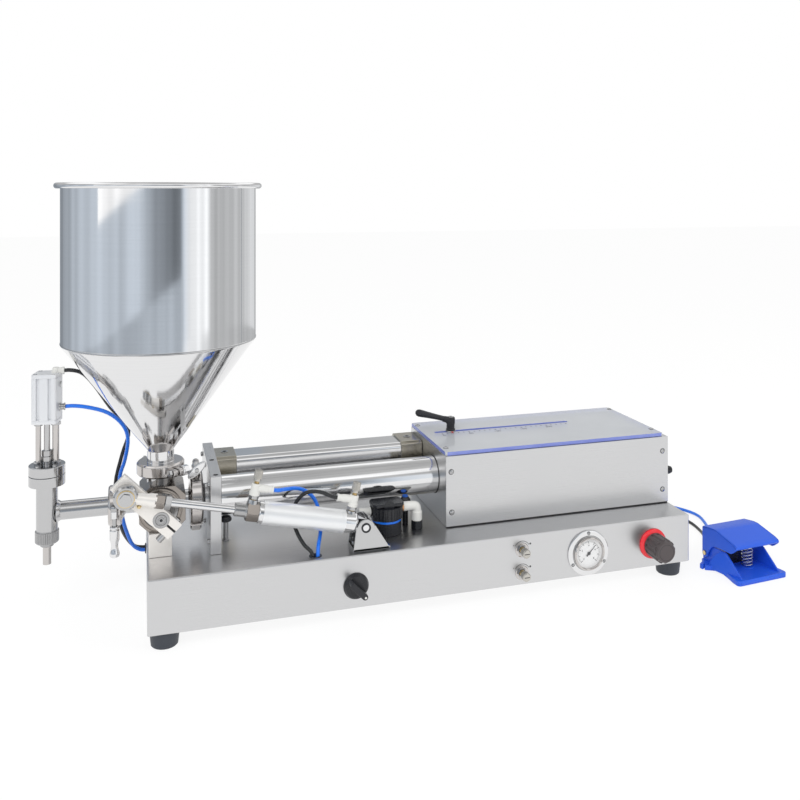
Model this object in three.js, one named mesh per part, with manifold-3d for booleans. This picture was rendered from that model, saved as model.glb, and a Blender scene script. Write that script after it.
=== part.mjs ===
// A table-top piston filler for paste: hopper, rotary valve with air actuator,
// product and air cylinders on a front plate, control box, dosing head, panel
// and a foot pedal on two air hoses. Millimetres, +Z up, +X along the machine.
import * as THREE from 'three';
import { mergeVertices } from 'three/addons/utils/BufferGeometryUtils.js';
import Module from 'manifold-3d';

// Clearances and facets
const gap = 0.3;
const slack = 0.5;
const overrun = 2;
const sidesFine = 28;
const sides = 14;
const sidesSmall = 8;
const sidesHex = 6;
const halfTurn = Math.PI;
const degree = Math.PI / 180;

// Base housing, measured from its front left bottom corner
const baseLength = 886;
const baseDepth = 320;
const baseHeight = 80;
const baseSheet = 2;
const footHeight = 25;
const footTopRadius = 20;
const footFloorRadius = 17;
const footInset = 27;
const footInsetRight = 40;
const floorZ = -footHeight;

// Axis of the product line: hopper, valve, product tube and outlet all follow it
const productY = 128;
const productRise = 69;
const productZ = baseHeight + productRise;

// Rotary valve
const valveX = 20;
const valveLift = 0.6;
const valveZ = productZ + valveLift;
const valveHalfLeft = 31;
const valveHalfRight = 37;
const valveHalfDepth = 42;
const valveDrop = 52;
const valveRise = 35;
const valveLeft = valveX - valveHalfLeft;
const valveRight = valveX + valveHalfRight;
const valveFront = productY - valveHalfDepth;
const valveBack = productY + valveHalfDepth;
const valveLow = productZ - valveDrop;
const valveTop = productZ + valveRise;
const valveChamfer = 15;
const valveBossRadius = 27;
const valveBossReach = 5;
const rotorRadius = 26;
const rotorDepth = 62;
const spindleRadius = 8;
const supportHalfLeft = 17;
const supportHalfRight = 16.6;
const supportHalfDepth = 49;

// Hopper
const hopperShift = 1;
const hopperX = valveX + hopperShift;
const hopperY = productY;
const hopperRadius = 146;
const rimReach = 7.6;
const rimRadius = hopperRadius + rimReach;
const beadRadius = 4.4;
const neckRadius = 20.5;
const hopperWall = 2;
const ferruleReach = 11.5;
const ferruleRadius = neckRadius + ferruleReach;
const ferruleThick = 8;
const ferruleRise = 19;
const neckRise = 26;
const coneRise = 172;
const hopperRise = 243.5;
const ferruleLowZ = valveTop + ferruleRise;
const coneLowZ = ferruleLowZ + neckRise;
const coneTopZ = coneLowZ + coneRise;
const rimZ = coneTopZ + hopperRise;

// Sanitary clamps with the pipes and ferrules that they hold
const clampLip = 1.4;
const hopperClampWall = 4;
const hopperClampRadius = ferruleRadius + hopperClampWall;
const hopperEarAngle = -60;
const cylinderClampStandoff = 7.9;
const cylinderClampWidth = 19;
const cylinderClampWall = 9.5;
const cylinderFerrule = 33;
const cylinderNeckRadius = 20;
const cylinderClampLeft = valveRight + cylinderClampStandoff;
const cylinderClampRight = cylinderClampLeft + cylinderClampWidth;
const cylinderClampRadius = cylinderFerrule + cylinderClampWall;
const outletStandoff = 25;
const outletClampWidth = 20;
const outletClampWall = 4.8;
const outletBore = 11;
const outletWall = 2.7;
const outletPipeRadius = outletBore + outletWall;
const outletFerrule = outletPipeRadius + ferruleReach;
const outletClampRight = valveLeft - outletStandoff;
const outletClampLeft = outletClampRight - outletClampWidth;
const outletClampRadius = outletFerrule + outletClampWall;
const earThick = 7;
const earWidth = 11;
const earRise = 16;
const earSplit = 3;
const boltRadius = 3.5;
const nutRadius = 8;
const nutLength = 11;
const wingReach = 12.5;
const wingThick = 4;
const wingHeight = 9;
const longNutDrop = 17;
const longNutLength = 46;
const longNutTop = productZ - longNutDrop;
const longNutLow = longNutTop - longNutLength;
const longNutRadius = 7.5;
const outletBoltReach = 42;
const outletBoltY = productY - outletBoltReach;

// The two cylinders and the plate that carries them
const plateStandoff = 8.5;
const plateLeft = cylinderClampRight + plateStandoff;
const plateThick = 16.6;
const plateReachFront = 64;
const plateReachBack = 126;
const plateFront = productY - plateReachFront;
const plateBack = productY + plateReachBack;
const plateRise = 49.5;
const plateTop = productZ + plateRise;
const plateHoleRadius = 4;
const plateHoleDepth = 6;
const plateHoleInset = 9.4;
const plateHoleSpacing = 78.1;
const flowRadius = 11;
const tubeLength = 360;
const tubeRadius = 30.5;
const tubeWall = 3;
const airSide = 64;
const airRise = 8.5;
const airCorner = 9;
const airCapLeftLength = 35.7;
const airCapRightLength = 38.7;
const barrelInset = 2.5;
const airWall = 6.6;
const airBoreRadius = airSide / 2 - airWall;
const productRodRadius = 10;
const airRodRadius = 8;
const productPistonThick = 22;
const airPistonThick = 15;
const pistonRest = 9;

// Control box
const boxInset = 1;
const boxReachFront = 66;
const boxReachBack = 130;
const boxRise = 48;
const boxLeft = plateLeft + plateThick + tubeLength;
const boxRight = baseLength - boxInset;
const boxFront = productY - boxReachFront;
const boxBack = productY + boxReachBack;
const boxTop = productZ + boxRise;
const endPlateThick = 18;
const panelSheet = 2;
const lidThick = 6;
const lidStep = 9;
const lidRight = boxRight - lidStep;
const lidCorner = 5;
const slotInset = 21;
const slotShort = 127;
const slotLeft = boxLeft + slotInset;
const slotRight = lidRight - slotShort;
const slotReach = 56;
const slotY = productY + slotReach;
const slotWidth = 8;
const plugInset = 13;
const plugRise = 53;
const plugY = boxFront + plugInset;
const plugZ = baseHeight + plugRise;
const plugRadius = 9;
const plugReach = 15;
const sensorInset = 47;
const sensorReach = 32;
const sensorX = lidRight - sensorInset;
const sensorY = productY + sensorReach;
const sensorSize = 26;

// Crosshead that ties both piston rods together
const crossheadGap = 8;
const crossheadThick = 18;
const crossheadDrop = 15;
const crossheadRise = 23;
const crossheadMargin = 18;

// Stroke stop: carriage under the lid, stud in the slot, clamp lever on top
const stopInset = 50.7;
const stopX = boxLeft + stopInset;
const carriageLength = 24;
const carriageWidth = 22;
const carriageHeight = 9;
const carriageBar = 8;
const carriageBarReach = 19.7;
const studRadius = 3.4;
const studRise = 29;
const studTop = boxTop + studRise;
const pointerRadius = 9;
const pointerThick = 1.6;
const hubRadius = 8;
const hubCap = 3;
const hubTop = studTop + hubCap;
const armReach = 59;
const armRise = 17;
const armRootRadius = 5;
const armTipRadius = 6.5;
const armDrop = 6;

// Valve lever
const leverStandoff = 46;
const leverFront = valveFront - leverStandoff;
const leverThick = 10;
const leverWidth = 28.6;
const leverReach = 86.3;
const leverTail = 28.3;
const leverAngle = 135;
const leverSplit = 3;
const spindleProud = 3;
const spindleFront = leverFront - spindleProud;
const eyeAngle = 139.6;
const eyeReach = 64.5;
const eyeX = valveX + eyeReach * Math.cos(eyeAngle * degree);
const eyeZ = valveZ + eyeReach * Math.sin(eyeAngle * degree);

// Actuator of the valve, along its own axis from the pivot pin
const pinX = 321.7;
const pinRise = 35.6;
const pinZ = baseHeight + pinRise;
const leverToActuator = 10;
const actuatorY = leverFront - leverToActuator;
const actuatorTilt = Math.atan2(eyeZ - pinZ, pinX - eyeX) / degree;
const pinToEye = Math.hypot(pinX - eyeX, eyeZ - pinZ);
const pinRadius = 5;
const rearCapEnd = 12;
const barrelRear = 31.8;
const barrelFront = 159.3;
const frontCapEnd = 166.1;
const noseNutEnd = 183.8;
const noseEnd = 201.9;
const barrelRadius = 17.3;
const capRadius = 16;
const noseNutRadius = 15;
const noseRadius = 9.5;
const barrelBore = 15;
const lugHalf = 8;
const lugRise = 10;
const lugEnd = 9;
const rodRadius = 6;
const rodPistonFront = 152;
const rodPistonRear = 140;
const rodNutStandoff = 41.2;
const rodNutLength = 22.9;
const rodNutFront = pinToEye - rodNutStandoff;
const rodNutRear = rodNutFront - rodNutLength;
const rodNutRadius = 11.5;
const shankRadius = 10;
const rodEyeRadius = 17.5;
const rodEyeHalf = 8;
const eyeBoltRadius = 6;
const eyeBoltHead = 9;
const fittingFront = 177;
const fittingRear = 23;
const fittingStemRadius = 5;
const fittingRadius = 8;
const fittingLow = 24;
const fittingHigh = 42;
const fittingArm = 27;
const fittingArmZ = 35;
const fittingArmRadius = 6;
const screwRadius = 6.5;
const screwHigh = 62;
const screwNeck = 3.5;
const screwNeckHigh = 46;

// Bracket under the actuator
const bracketReachLeft = 19.9;
const bracketReachRight = 38.5;
const bracketLeft = pinX - bracketReachLeft;
const bracketRight = pinX + bracketReachRight;
const bracketFloor = 4;
const bracketRise = 12.4;
const bracketTop = pinZ + bracketRise;
const bracketTopHalf = 11;
const bracketInner = 16.5;
const bracketSheet = 3;
const pinHeadRadius = 7;
const pinHeadThick = 2;

// Dosing head
const doseReach = 87.5;
const doseX = outletClampLeft - doseReach;
const doseY = productY;
const doseRadius = 15.5;
const doseDrop = 26;
const doseRise = 57;
const doseFlangeHalf = 15;
const doseFlangeRadius = 26;
const doseBodyLow = productZ - doseDrop;
const doseFlangeSplit = productZ + doseRise;
const doseBodyHigh = doseFlangeSplit - doseFlangeHalf;
const doseFlangeHigh = doseFlangeSplit + doseFlangeHalf;
const doseWall = 2.5;
const postRise = 63;
const postLeft = 12.1;
const postRight = 12.3;
const postLeftRadius = 4;
const postRightRadius = 5;
const doseCylinderLength = 74;
const doseCylinderLow = doseFlangeHigh + postRise + slack;
const doseCylinderHigh = doseCylinderLow + doseCylinderLength;
const doseCylinderSide = 36;
const doseCylinderTurn = -10.7;
const doseBore = 13;
const doseBoreTop = 14;
const grooveWidth = 6;
const grooveDepth = 4;
const stemRadius = 4.5;
const stemNutRadius = 8;
const stemNutRise = 5;
const stemNutLength = 16;
const stemNutLow = doseFlangeHigh + stemNutRise;
const stemNutHigh = stemNutLow + stemNutLength;
const stemPistonRise = 15.5;
const stemPistonThick = 10;
const stemPistonLow = doseCylinderLow + stemPistonRise;
const stemPistonHigh = stemPistonLow + stemPistonThick;
const nozzleNutRadius = 17;
const nozzleNutLength = 19.4;
const nozzleLength = 32.6;
const nozzleNutLow = doseBodyLow - nozzleNutLength;
const nozzleLow = nozzleNutLow - nozzleLength;
const stemDip = 11.6;
const stemLow = nozzleNutLow - stemDip;
const nozzleRadius = 6;
const nozzleBore = 4.9;
const elbowShift = 12.5;
const elbowX = doseX + elbowShift;
const elbowRadius = 6;
const elbowRise = 8;
const elbowReach = 12;
const elbowZ = doseCylinderHigh + elbowRise - elbowRadius;
const sideFittingRise = 21.5;
const sideFittingZ = doseCylinderLow + sideFittingRise;

// Black quick exhaust unit and its elbow
const exhaustInset = 125;
const exhaustLeft = boxLeft - exhaustInset;
const exhaustLength = 56;
const exhaustRight = exhaustLeft + exhaustLength;
const exhaustReach = 68;
const exhaustDepth = 34;
const exhaustFront = productY - exhaustReach;
const exhaustBack = exhaustFront + exhaustDepth;
const exhaustRise = 32;
const exhaustHeight = 26;
const exhaustLow = baseHeight + exhaustRise;
const exhaustTop = exhaustLow + exhaustHeight;
const exhaustRingRadius = 15.5;
const exhaustArmReach = 23.5;
const exhaustArmX = exhaustRight + exhaustArmReach;
const exhaustArmRise = 23;
const exhaustArmZ = baseHeight + exhaustArmRise;
const exhaustArmRadius = 6;
const exhaustHex = 10;
const exhaustHexTall = 8;

// Grommet hole for the actuator tubes, and the hand knob behind the plate
const grommetX = 244;
const grommetY = 16;
const grommetRadius = 8;
const knobStandoff = 11;
const knobShift = 10;
const knobX = plateLeft + plateThick + knobStandoff;
const knobY = productY - knobShift;
const knobStemRadius = 5;
const knobRadius = 10.5;
const knobRise = 24;
const knobHeight = 13.5;
const knobLow = baseHeight + knobRise;
const knobTop = knobLow + knobHeight;

// Operating panel
const selectorX = 303.2;
const selectorZ = 34;
const selectorRadius = 19.5;
const selectorSkirt = 7;
const selectorGrip = 24;
const selectorGripWidth = 9;
const stemReach = 20;
const stemRadiusPanel = 5;
const needleInset = 309.7;
const needleX = baseLength - needleInset;
const needleHighZ = 56.3;
const needleLowZ = 19.5;
const needleRadius = 8.5;
const needleReach = 20.4;
const needleSeat = 8;
const gaugeInset = 192.3;
const gaugeX = baseLength - gaugeInset;
const gaugeZ = 38;
const gaugeFlangeRadius = 36.5;
const gaugeFlangeThick = 3;
const gaugeBezelRadius = 27;
const gaugeBezelReach = 9;
const gaugeBezelWall = 3;
const gaugeWindowRadius = gaugeBezelRadius - gaugeBezelWall;
const gaugeWindowDepth = 6;
const gaugeCanStep = 2.5;
const gaugeCanRadius = gaugeBezelRadius - gaugeCanStep;
const gaugeCanDepth = 30;
const pointerLength = 18;
const pointerTail = 6;
const pointerHalf = 1.2;
const pointerHub = 2.6;
const pointerBlade = 1.2;
const pointerRest = 135;
const regulatorInset = 70.8;
const regulatorX = baseLength - regulatorInset;
const regulatorZ = 38.7;
const regulatorRingRadius = 25;
const regulatorRingReach = 6;
const regulatorNeck = 14;
const regulatorBodyRadius = 23;
const regulatorDepth = 55;
const regulatorKnobRadius = 20;
const regulatorKnobTip = 17;
const regulatorReach = 42;
const regulatorGripEnd = 37;
const ribCount = 12;
const ribDepth = 1.5;

// Union at the back for the two pedal hoses
const unionInset = 24;
const unionLength = 78;
const unionRight = baseLength - unionInset;
const unionLeft = unionRight - unionLength;
const unionZ = 45;
const unionHalf = 12;
const unionReach = 12;
const bluePortInset = 16;
const blackPortInset = 12;
const bluePortX = unionRight - bluePortInset;
const blackPortX = unionLeft + blackPortInset;

// Foot pedal, from its own centre on the floor
const pedalStandoff = 100;
const pedalX = baseLength + pedalStandoff;
const pedalY = -1;
const pedalTurn = 5;
const pedalFloor = 5;
const pedalToe = -58;
const pedalToeHigh = 9;
const pedalToeLength = 6;
const pedalHalf = 48;
const pedalWaistHalf = 43;
const pedalWaistY = -2;
const pedalEarHalf = 58.7;
const pedalEarFront = 16;
const pedalEarBack = 36;
const pedalHeel = 44;
const cheekThick = 3;
const cheekToeY = -52;
const cheekTopY = -14;
const cheekTopZ = 38;
const pedalPinY = 33;
const pedalPinZ = 23;
const pedalPinRadius = 4;
const pedalPinReach = 2;
const coverPlay = 2;
const coverHalf = 46.5;
const coverSheet = 3;
const coverLipY = -44;
const coverLipZ = 57;
const coverBendY = -9;
const coverBendZ = 73;
const coverBackY = 40;
const coverBackZ = 67;
const coverLowY = -33;
const coverLowZ = 45;
const coverArchY = 11;
const coverArchZ = 41;
const coverBoss = 8;
const cheekHalf = coverHalf - coverSheet - coverPlay;
const springX = 6;
const springY = -12;
const springRadius = 9;
const springWire = 1.1;
const springCurls = 6;
const springLow = 6.7;
const springHigh = 34;
const springLedge = 2;
const springSeatRadius = springRadius + springLedge;
const curlSteps = 8;
const curlSides = 5;
const pedalValveHalf = 26;
const pedalValveBack = 33;
const pedalValveFront = 6;
const pedalValveTop = 30;
const portBlueX = 18;
const portBlackX = -6;
const portReach = 21;
const portZ = 25;
const portRadiusHose = 6;

// Air tubes and hoses
const hoseRadius = 3;
const hoseSides = 8;
const hoseStraight = 2 * hoseRadius;
const coilRadius = 46;
const coilPitch = 7;
const coilClimb = 6.7;
const coilTurns = 4.75;
const coilSteps = 24;
const coilSides = 6;
const coilStandoff = 82;
const coilY = baseDepth + coilStandoff;
const coilBlueX = bluePortX - coilRadius;
const coilSpacing = 160;
const coilBlackX = coilBlueX - coilSpacing;
const tubeDip = 12.5;
const tubeEndZ = baseHeight - tubeDip;

// Routes of the air tubes on the machine
const doseBlueEnd = [5, 222, 39];
const doseBlackEnd = [5, 234, 39];
const doseBlueRoute = [
  [doseX + doseCylinderSide / 2 + elbowReach / 2 + overrun + gap, productY, sideFittingZ],
  [-108, productY, sideFittingZ], [-88.4, 130, 302.4], [-57, 139, 289], [-35.6, 151, 266],
  [-28.2, 163, 241.6], [-32.8, 178, 203], [-40.8, 188, 172.8], [-37.5, 194, 110.5],
  [-30, 205, 76], [-20, 216, 50], [-9, 222, 40], [-3, 222, 39], doseBlueEnd,
];
const doseBlackRoute = [
  [elbowX + elbowReach + gap, productY, elbowZ], [-112, productY, elbowZ], [-97, 140, 354],
  [-80, 166, 330], [-55, 190, 285], [-27.5, 205, 244.4], [-37.7, 205, 203.9], [-47.9, 203, 157.2],
  [-41, 208, 92.9], [-31, 222, 62], [-18, 232, 43], [-8, 234, 39.3], [-3, 234, 39], doseBlackEnd,
];
// A point of the actuator, given along its axis and across it, at rest
function onActuator(along, across) {
  const turn = new THREE.Euler(0, actuatorTilt * degree, 0);
  const point = new THREE.Vector3(along, 0, across).applyEuler(turn);
  return [pinX + point.x, actuatorY, pinZ + point.z];
}

const armEnd = fittingArm + gap;
const armStraight = armEnd + hoseStraight;
const actuatorBlueRoute = [
  onActuator(armEnd - fittingFront, fittingArmZ), onActuator(armStraight - fittingFront, fittingArmZ),
  [202, 38, 178], [224, 57, 171], [241, 64, 161],
  [253.3, 64, 145.9], [260, 58, 119.2], [257, 44, 103], [250, 24, 91], [247.8, grommetY, 80],
  [247.8, grommetY, tubeEndZ],
];
const actuatorBlackRoute = [
  onActuator(-armEnd - fittingRear, fittingArmZ), onActuator(-armStraight - fittingRear, fittingArmZ),
  [256, 39, 168], [236, 51, 165], [222, 56, 151],
  [216, 57, 130], [220, 46, 110], [229, 28, 94], [238, 18, 86], [240.2, grommetY, 78],
  [240.2, grommetY, tubeEndZ],
];

// Finishes, each as colour, roughness and metalness
const finishes = {
  brushed: [0xc9c8c6, 0.38, 0.9],
  polished: [0xdcdddd, 0.12, 1],
  satin: [0xcfd0d2, 0.3, 0.9],
  champagne: [0xb9ad92, 0.35, 0.8],
  cast: [0xb4b4b2, 0.45, 0.85],
  black: [0x1d1e22, 0.5, 0],
  rubber: [0x1b1b1d, 0.8, 0],
  clear: [0xcfdbe4, 0.08, 0],
  red: [0xd23a3a, 0.4, 0],
  blue: [0x2447c8, 0.45, 0],
  hoseBlue: [0x1f6fd6, 0.35, 0],
  hoseBlack: [0x17181b, 0.35, 0],
  dial: [0xf2f2ee, 0.5, 0],
};

const wasm = await Module();
wasm.setup();

const machine = new THREE.Group();
const hoses = new THREE.Group();

// Signed volume of an indexed triangle list
function signedVolume(position, index) {
  let volume = 0;
  for (let i = 0; i < index.length; i += 3) {
    const a = new THREE.Vector3().fromArray(position, index[i] * 3);
    const b = new THREE.Vector3().fromArray(position, index[i + 1] * 3);
    const c = new THREE.Vector3().fromArray(position, index[i + 2] * 3);
    volume += a.dot(b.cross(c));
  }
  return volume;
}

// A closed geometry as a solid, facing outwards
function solid(geometry) {
  const bare = geometry.clone();
  bare.deleteAttribute('normal');
  bare.deleteAttribute('uv');
  const merged = mergeVertices(bare);
  const raw = merged.index.array;
  const kept = [];
  for (let i = 0; i < raw.length; i += 3) {
    const [a, b, c] = [raw[i], raw[i + 1], raw[i + 2]];
    if (a !== b && b !== c && c !== a) kept.push(a, b, c);
  }
  const vertProperties = new Float32Array(merged.attributes.position.array);
  if (signedVolume(vertProperties, kept) < 0) kept.reverse();
  const triVerts = new Uint32Array(kept);
  return new wasm.Manifold(new wasm.Mesh({ numProp: 3, vertProperties, triVerts }));
}

function join(first, ...others) {
  return others.reduce((sum, other) => sum.add(other), first);
}

function cut(first, ...others) {
  return others.reduce((rest, other) => rest.subtract(other), first);
}

// A solid back as a geometry
function surface(body) {
  const mesh = body.getMesh();
  const geometry = new THREE.BufferGeometry();
  geometry.setAttribute('position', new THREE.BufferAttribute(mesh.vertProperties, 3));
  geometry.setIndex(new THREE.BufferAttribute(mesh.triVerts, 1));
  geometry.computeVertexNormals();
  return geometry;
}

// Adds a named piece to a group
function piece(name, shape, finish, group = machine) {
  const geometry = shape.isBufferGeometry ? shape : surface(shape);
  const [color, roughness, metalness] = finishes[finish];
  const material = new THREE.MeshStandardMaterial({ color, roughness, metalness });
  const mesh = new THREE.Mesh(geometry, material);
  mesh.name = name;
  group.add(mesh);
  return mesh;
}

function block(x0, x1, y0, y1, z0, z1) {
  const geometry = new THREE.BoxGeometry(x1 - x0, y1 - y0, z1 - z0);
  geometry.translate((x0 + x1) / 2, (y0 + y1) / 2, (z0 + z1) / 2);
  return solid(geometry);
}

// Round or faceted bar along an axis; u and v are its other two coordinates in order
function bar(axis, u, v, radius, from, to, count = sides, endRadius = radius) {
  const geometry = new THREE.CylinderGeometry(endRadius, radius, to - from, count);
  const middle = (from + to) / 2;
  if (axis === 'x') geometry.rotateZ(-halfTurn / 2).translate(middle, u, v);
  if (axis === 'y') geometry.translate(u, middle, v);
  if (axis === 'z') geometry.rotateX(halfTurn / 2).translate(u, v, middle);
  return solid(geometry);
}

// Bar between two points
function strut(a, b, radius, endRadius, count = sidesSmall) {
  const from = new THREE.Vector3(...a);
  const to = new THREE.Vector3(...b);
  const line = to.clone().sub(from);
  const geometry = new THREE.CylinderGeometry(endRadius, radius, line.length(), count);
  const turn = new THREE.Quaternion();
  turn.setFromUnitVectors(new THREE.Vector3(0, 1, 0), line.clone().normalize());
  geometry.applyQuaternion(turn);
  const middle = from.add(to).multiplyScalar(1 / 2);
  geometry.translate(middle.x, middle.y, middle.z);
  return solid(geometry);
}

function ball(x, y, z, radius, count = sidesSmall) {
  const geometry = new THREE.SphereGeometry(radius, count, count / 2);
  geometry.translate(x, y, z);
  return solid(geometry);
}

// Outline of points or a Shape, run along the axis that its plane leaves out
function prism(plane, outline, from, to) {
  const drawn = outline instanceof THREE.Shape;
  const shape = drawn ? outline : new THREE.Shape(outline.map(([u, v]) => new THREE.Vector2(u, v)));
  const options = { depth: to - from, bevelEnabled: false, curveSegments: sidesSmall };
  const geometry = new THREE.ExtrudeGeometry(shape, options);
  if (plane === 'xy') geometry.translate(0, 0, from);
  if (plane === 'xz') geometry.rotateX(halfTurn / 2).translate(0, to, 0);
  if (plane === 'yz') {
    const basis = new THREE.Matrix4().makeBasis(
      new THREE.Vector3(0, 1, 0), new THREE.Vector3(0, 0, 1), new THREE.Vector3(1, 0, 0));
    geometry.applyMatrix4(basis).translate(from, 0, 0);
  }
  return solid(geometry);
}

// Profile of [radius, height] points turned about an upright axis, or laid along X
function turned(profile, x, y, z, count = sidesFine, axis = 'z') {
  const points = profile.map(([r, h]) => new THREE.Vector2(r, h));
  const geometry = new THREE.LatheGeometry(points, count);
  if (axis === 'z') geometry.rotateX(halfTurn / 2);
  if (axis === 'x') geometry.rotateZ(-halfTurn / 2);
  geometry.translate(x, y, z);
  return solid(geometry);
}

// Rectangle with cut corners, as outline points
function chamfered(u0, u1, v0, v1, c) {
  return [
    [u0 + c, v0], [u1 - c, v0], [u1, v0 + c], [u1, v1 - c],
    [u1 - c, v1], [u0 + c, v1], [u0, v1 - c], [u0, v0 + c],
  ];
}

function curveOf(points) {
  return new THREE.CatmullRomCurve3(points.map((p) => new THREE.Vector3(...p)), false, 'centripetal');
}

// Round tube along a free route; prints its length
function tubeAlong(name, points, finish, steps) {
  const path = curveOf(points);
  const section = new THREE.Shape();
  for (let i = 0; i < hoseSides; i += 1) {
    const turn = (i / hoseSides) * 2 * halfTurn;
    const place = [hoseRadius * Math.cos(turn), hoseRadius * Math.sin(turn)];
    if (i === 0) section.moveTo(...place);
    else section.lineTo(...place);
  }
  section.closePath();
  const geometry = new THREE.ExtrudeGeometry(section, { steps, extrudePath: path, bevelEnabled: false });
  console.log(`${name} length ${path.getLength().toFixed(1)} mm`);
  return piece(name, geometry, finish, hoses);
}

// Tube of rings carried along points, closed at both ends
function windTube(points, radius, count) {
  const position = [];
  const index = [];
  const last = points.length - 1;
  const tangents = points.map((p, i) => {
    const before = points[Math.max(i - 1, 0)];
    const after = points[Math.min(i + 1, last)];
    return after.clone().sub(before).normalize();
  });
  let normal = new THREE.Vector3(0, 0, 1);
  points.forEach((p, i) => {
    const along = tangents[i];
    normal = normal.clone().addScaledVector(along, -normal.dot(along)).normalize();
    const side = along.clone().cross(normal);
    for (let k = 0; k < count; k += 1) {
      const turn = (k / count) * 2 * halfTurn;
      const at = p.clone().addScaledVector(normal, radius * Math.cos(turn));
      position.push(...at.addScaledVector(side, radius * Math.sin(turn)).toArray());
    }
  });
  for (let i = 0; i < last; i += 1) {
    for (let k = 0; k < count; k += 1) {
      const next = (k + 1) % count;
      const [a, b] = [i * count + k, i * count + next];
      const [c, d] = [a + count, b + count];
      index.push(a, b, d, a, d, c);
    }
  }
  for (let k = 1; k < count - 1; k += 1) {
    const end = last * count;
    index.push(0, k + 1, k);
    index.push(end, end + k, end + k + 1);
  }
  if (signedVolume(position, index) < 0) index.reverse();
  const geometry = new THREE.BufferGeometry();
  geometry.setAttribute('position', new THREE.Float32BufferAttribute(position, 3));
  geometry.setIndex(index);
  geometry.computeVertexNormals();
  return geometry;
}

// Least distance between a tube's surface and itself, turns apart
function leastGap(points, radius, apart) {
  let least = Infinity;
  for (let i = 0; i < points.length; i += 1) {
    for (let k = i + apart; k < points.length; k += 1) {
      least = Math.min(least, points[i].distanceTo(points[k]));
    }
  }
  return least - 2 * radius;
}

// Base housing with its openings, and the feet
function makeBase() {
  const inner = baseSheet;
  let shell = cut(
    block(0, baseLength, 0, baseDepth, 0, baseHeight),
    block(inner, baseLength - inner, inner, baseDepth - inner, inner, baseHeight - inner),
  );
  const through = baseSheet + overrun;
  const panelHole = (x, z, radius, count = sides) => bar('y', x, z, radius, -overrun, through, count);
  const backHole = (x) => bar('y', x, unionZ, portRadiusHose + gap, baseDepth - baseSheet - overrun,
    baseDepth + overrun);
  shell = cut(
    shell,
    panelHole(selectorX, selectorZ, stemRadiusPanel + gap),
    panelHole(needleX, needleHighZ, stemRadiusPanel + gap),
    panelHole(needleX, needleLowZ, stemRadiusPanel + gap),
    panelHole(gaugeX, gaugeZ, gaugeCanRadius + gap, sidesFine),
    panelHole(regulatorX, regulatorZ, regulatorNeck + gap),
    backHole(bluePortX),
    backHole(blackPortX),
    bar('z', grommetX, grommetY, grommetRadius, baseHeight - through, baseHeight + overrun),
    ...[doseBlueEnd, doseBlackEnd].map(([, y, z]) => bar('x', y, z, hoseRadius + 2 * slack, -overrun, through,
      sidesSmall)),
  );
  piece('base_housing', shell, 'brushed');
  let number = 0;
  for (const y of [footInset, baseDepth - footInset]) {
    for (const x of [footInset, baseLength - footInsetRight]) {
      number += 1;
      const foot = bar('z', x, y, footFloorRadius, floorZ, -gap, sides, footTopRadius);
      piece(`foot_${number}`, foot, 'rubber');
    }
  }
}

// Plate with the product tube and the air cylinder between it and the box
const plateRight = plateLeft + plateThick;
const airY = plateBack - airSide / 2;
const airZ = productZ + airRise;
const airHalf = airSide / 2;
const deckZ = baseHeight + gap;

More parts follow.
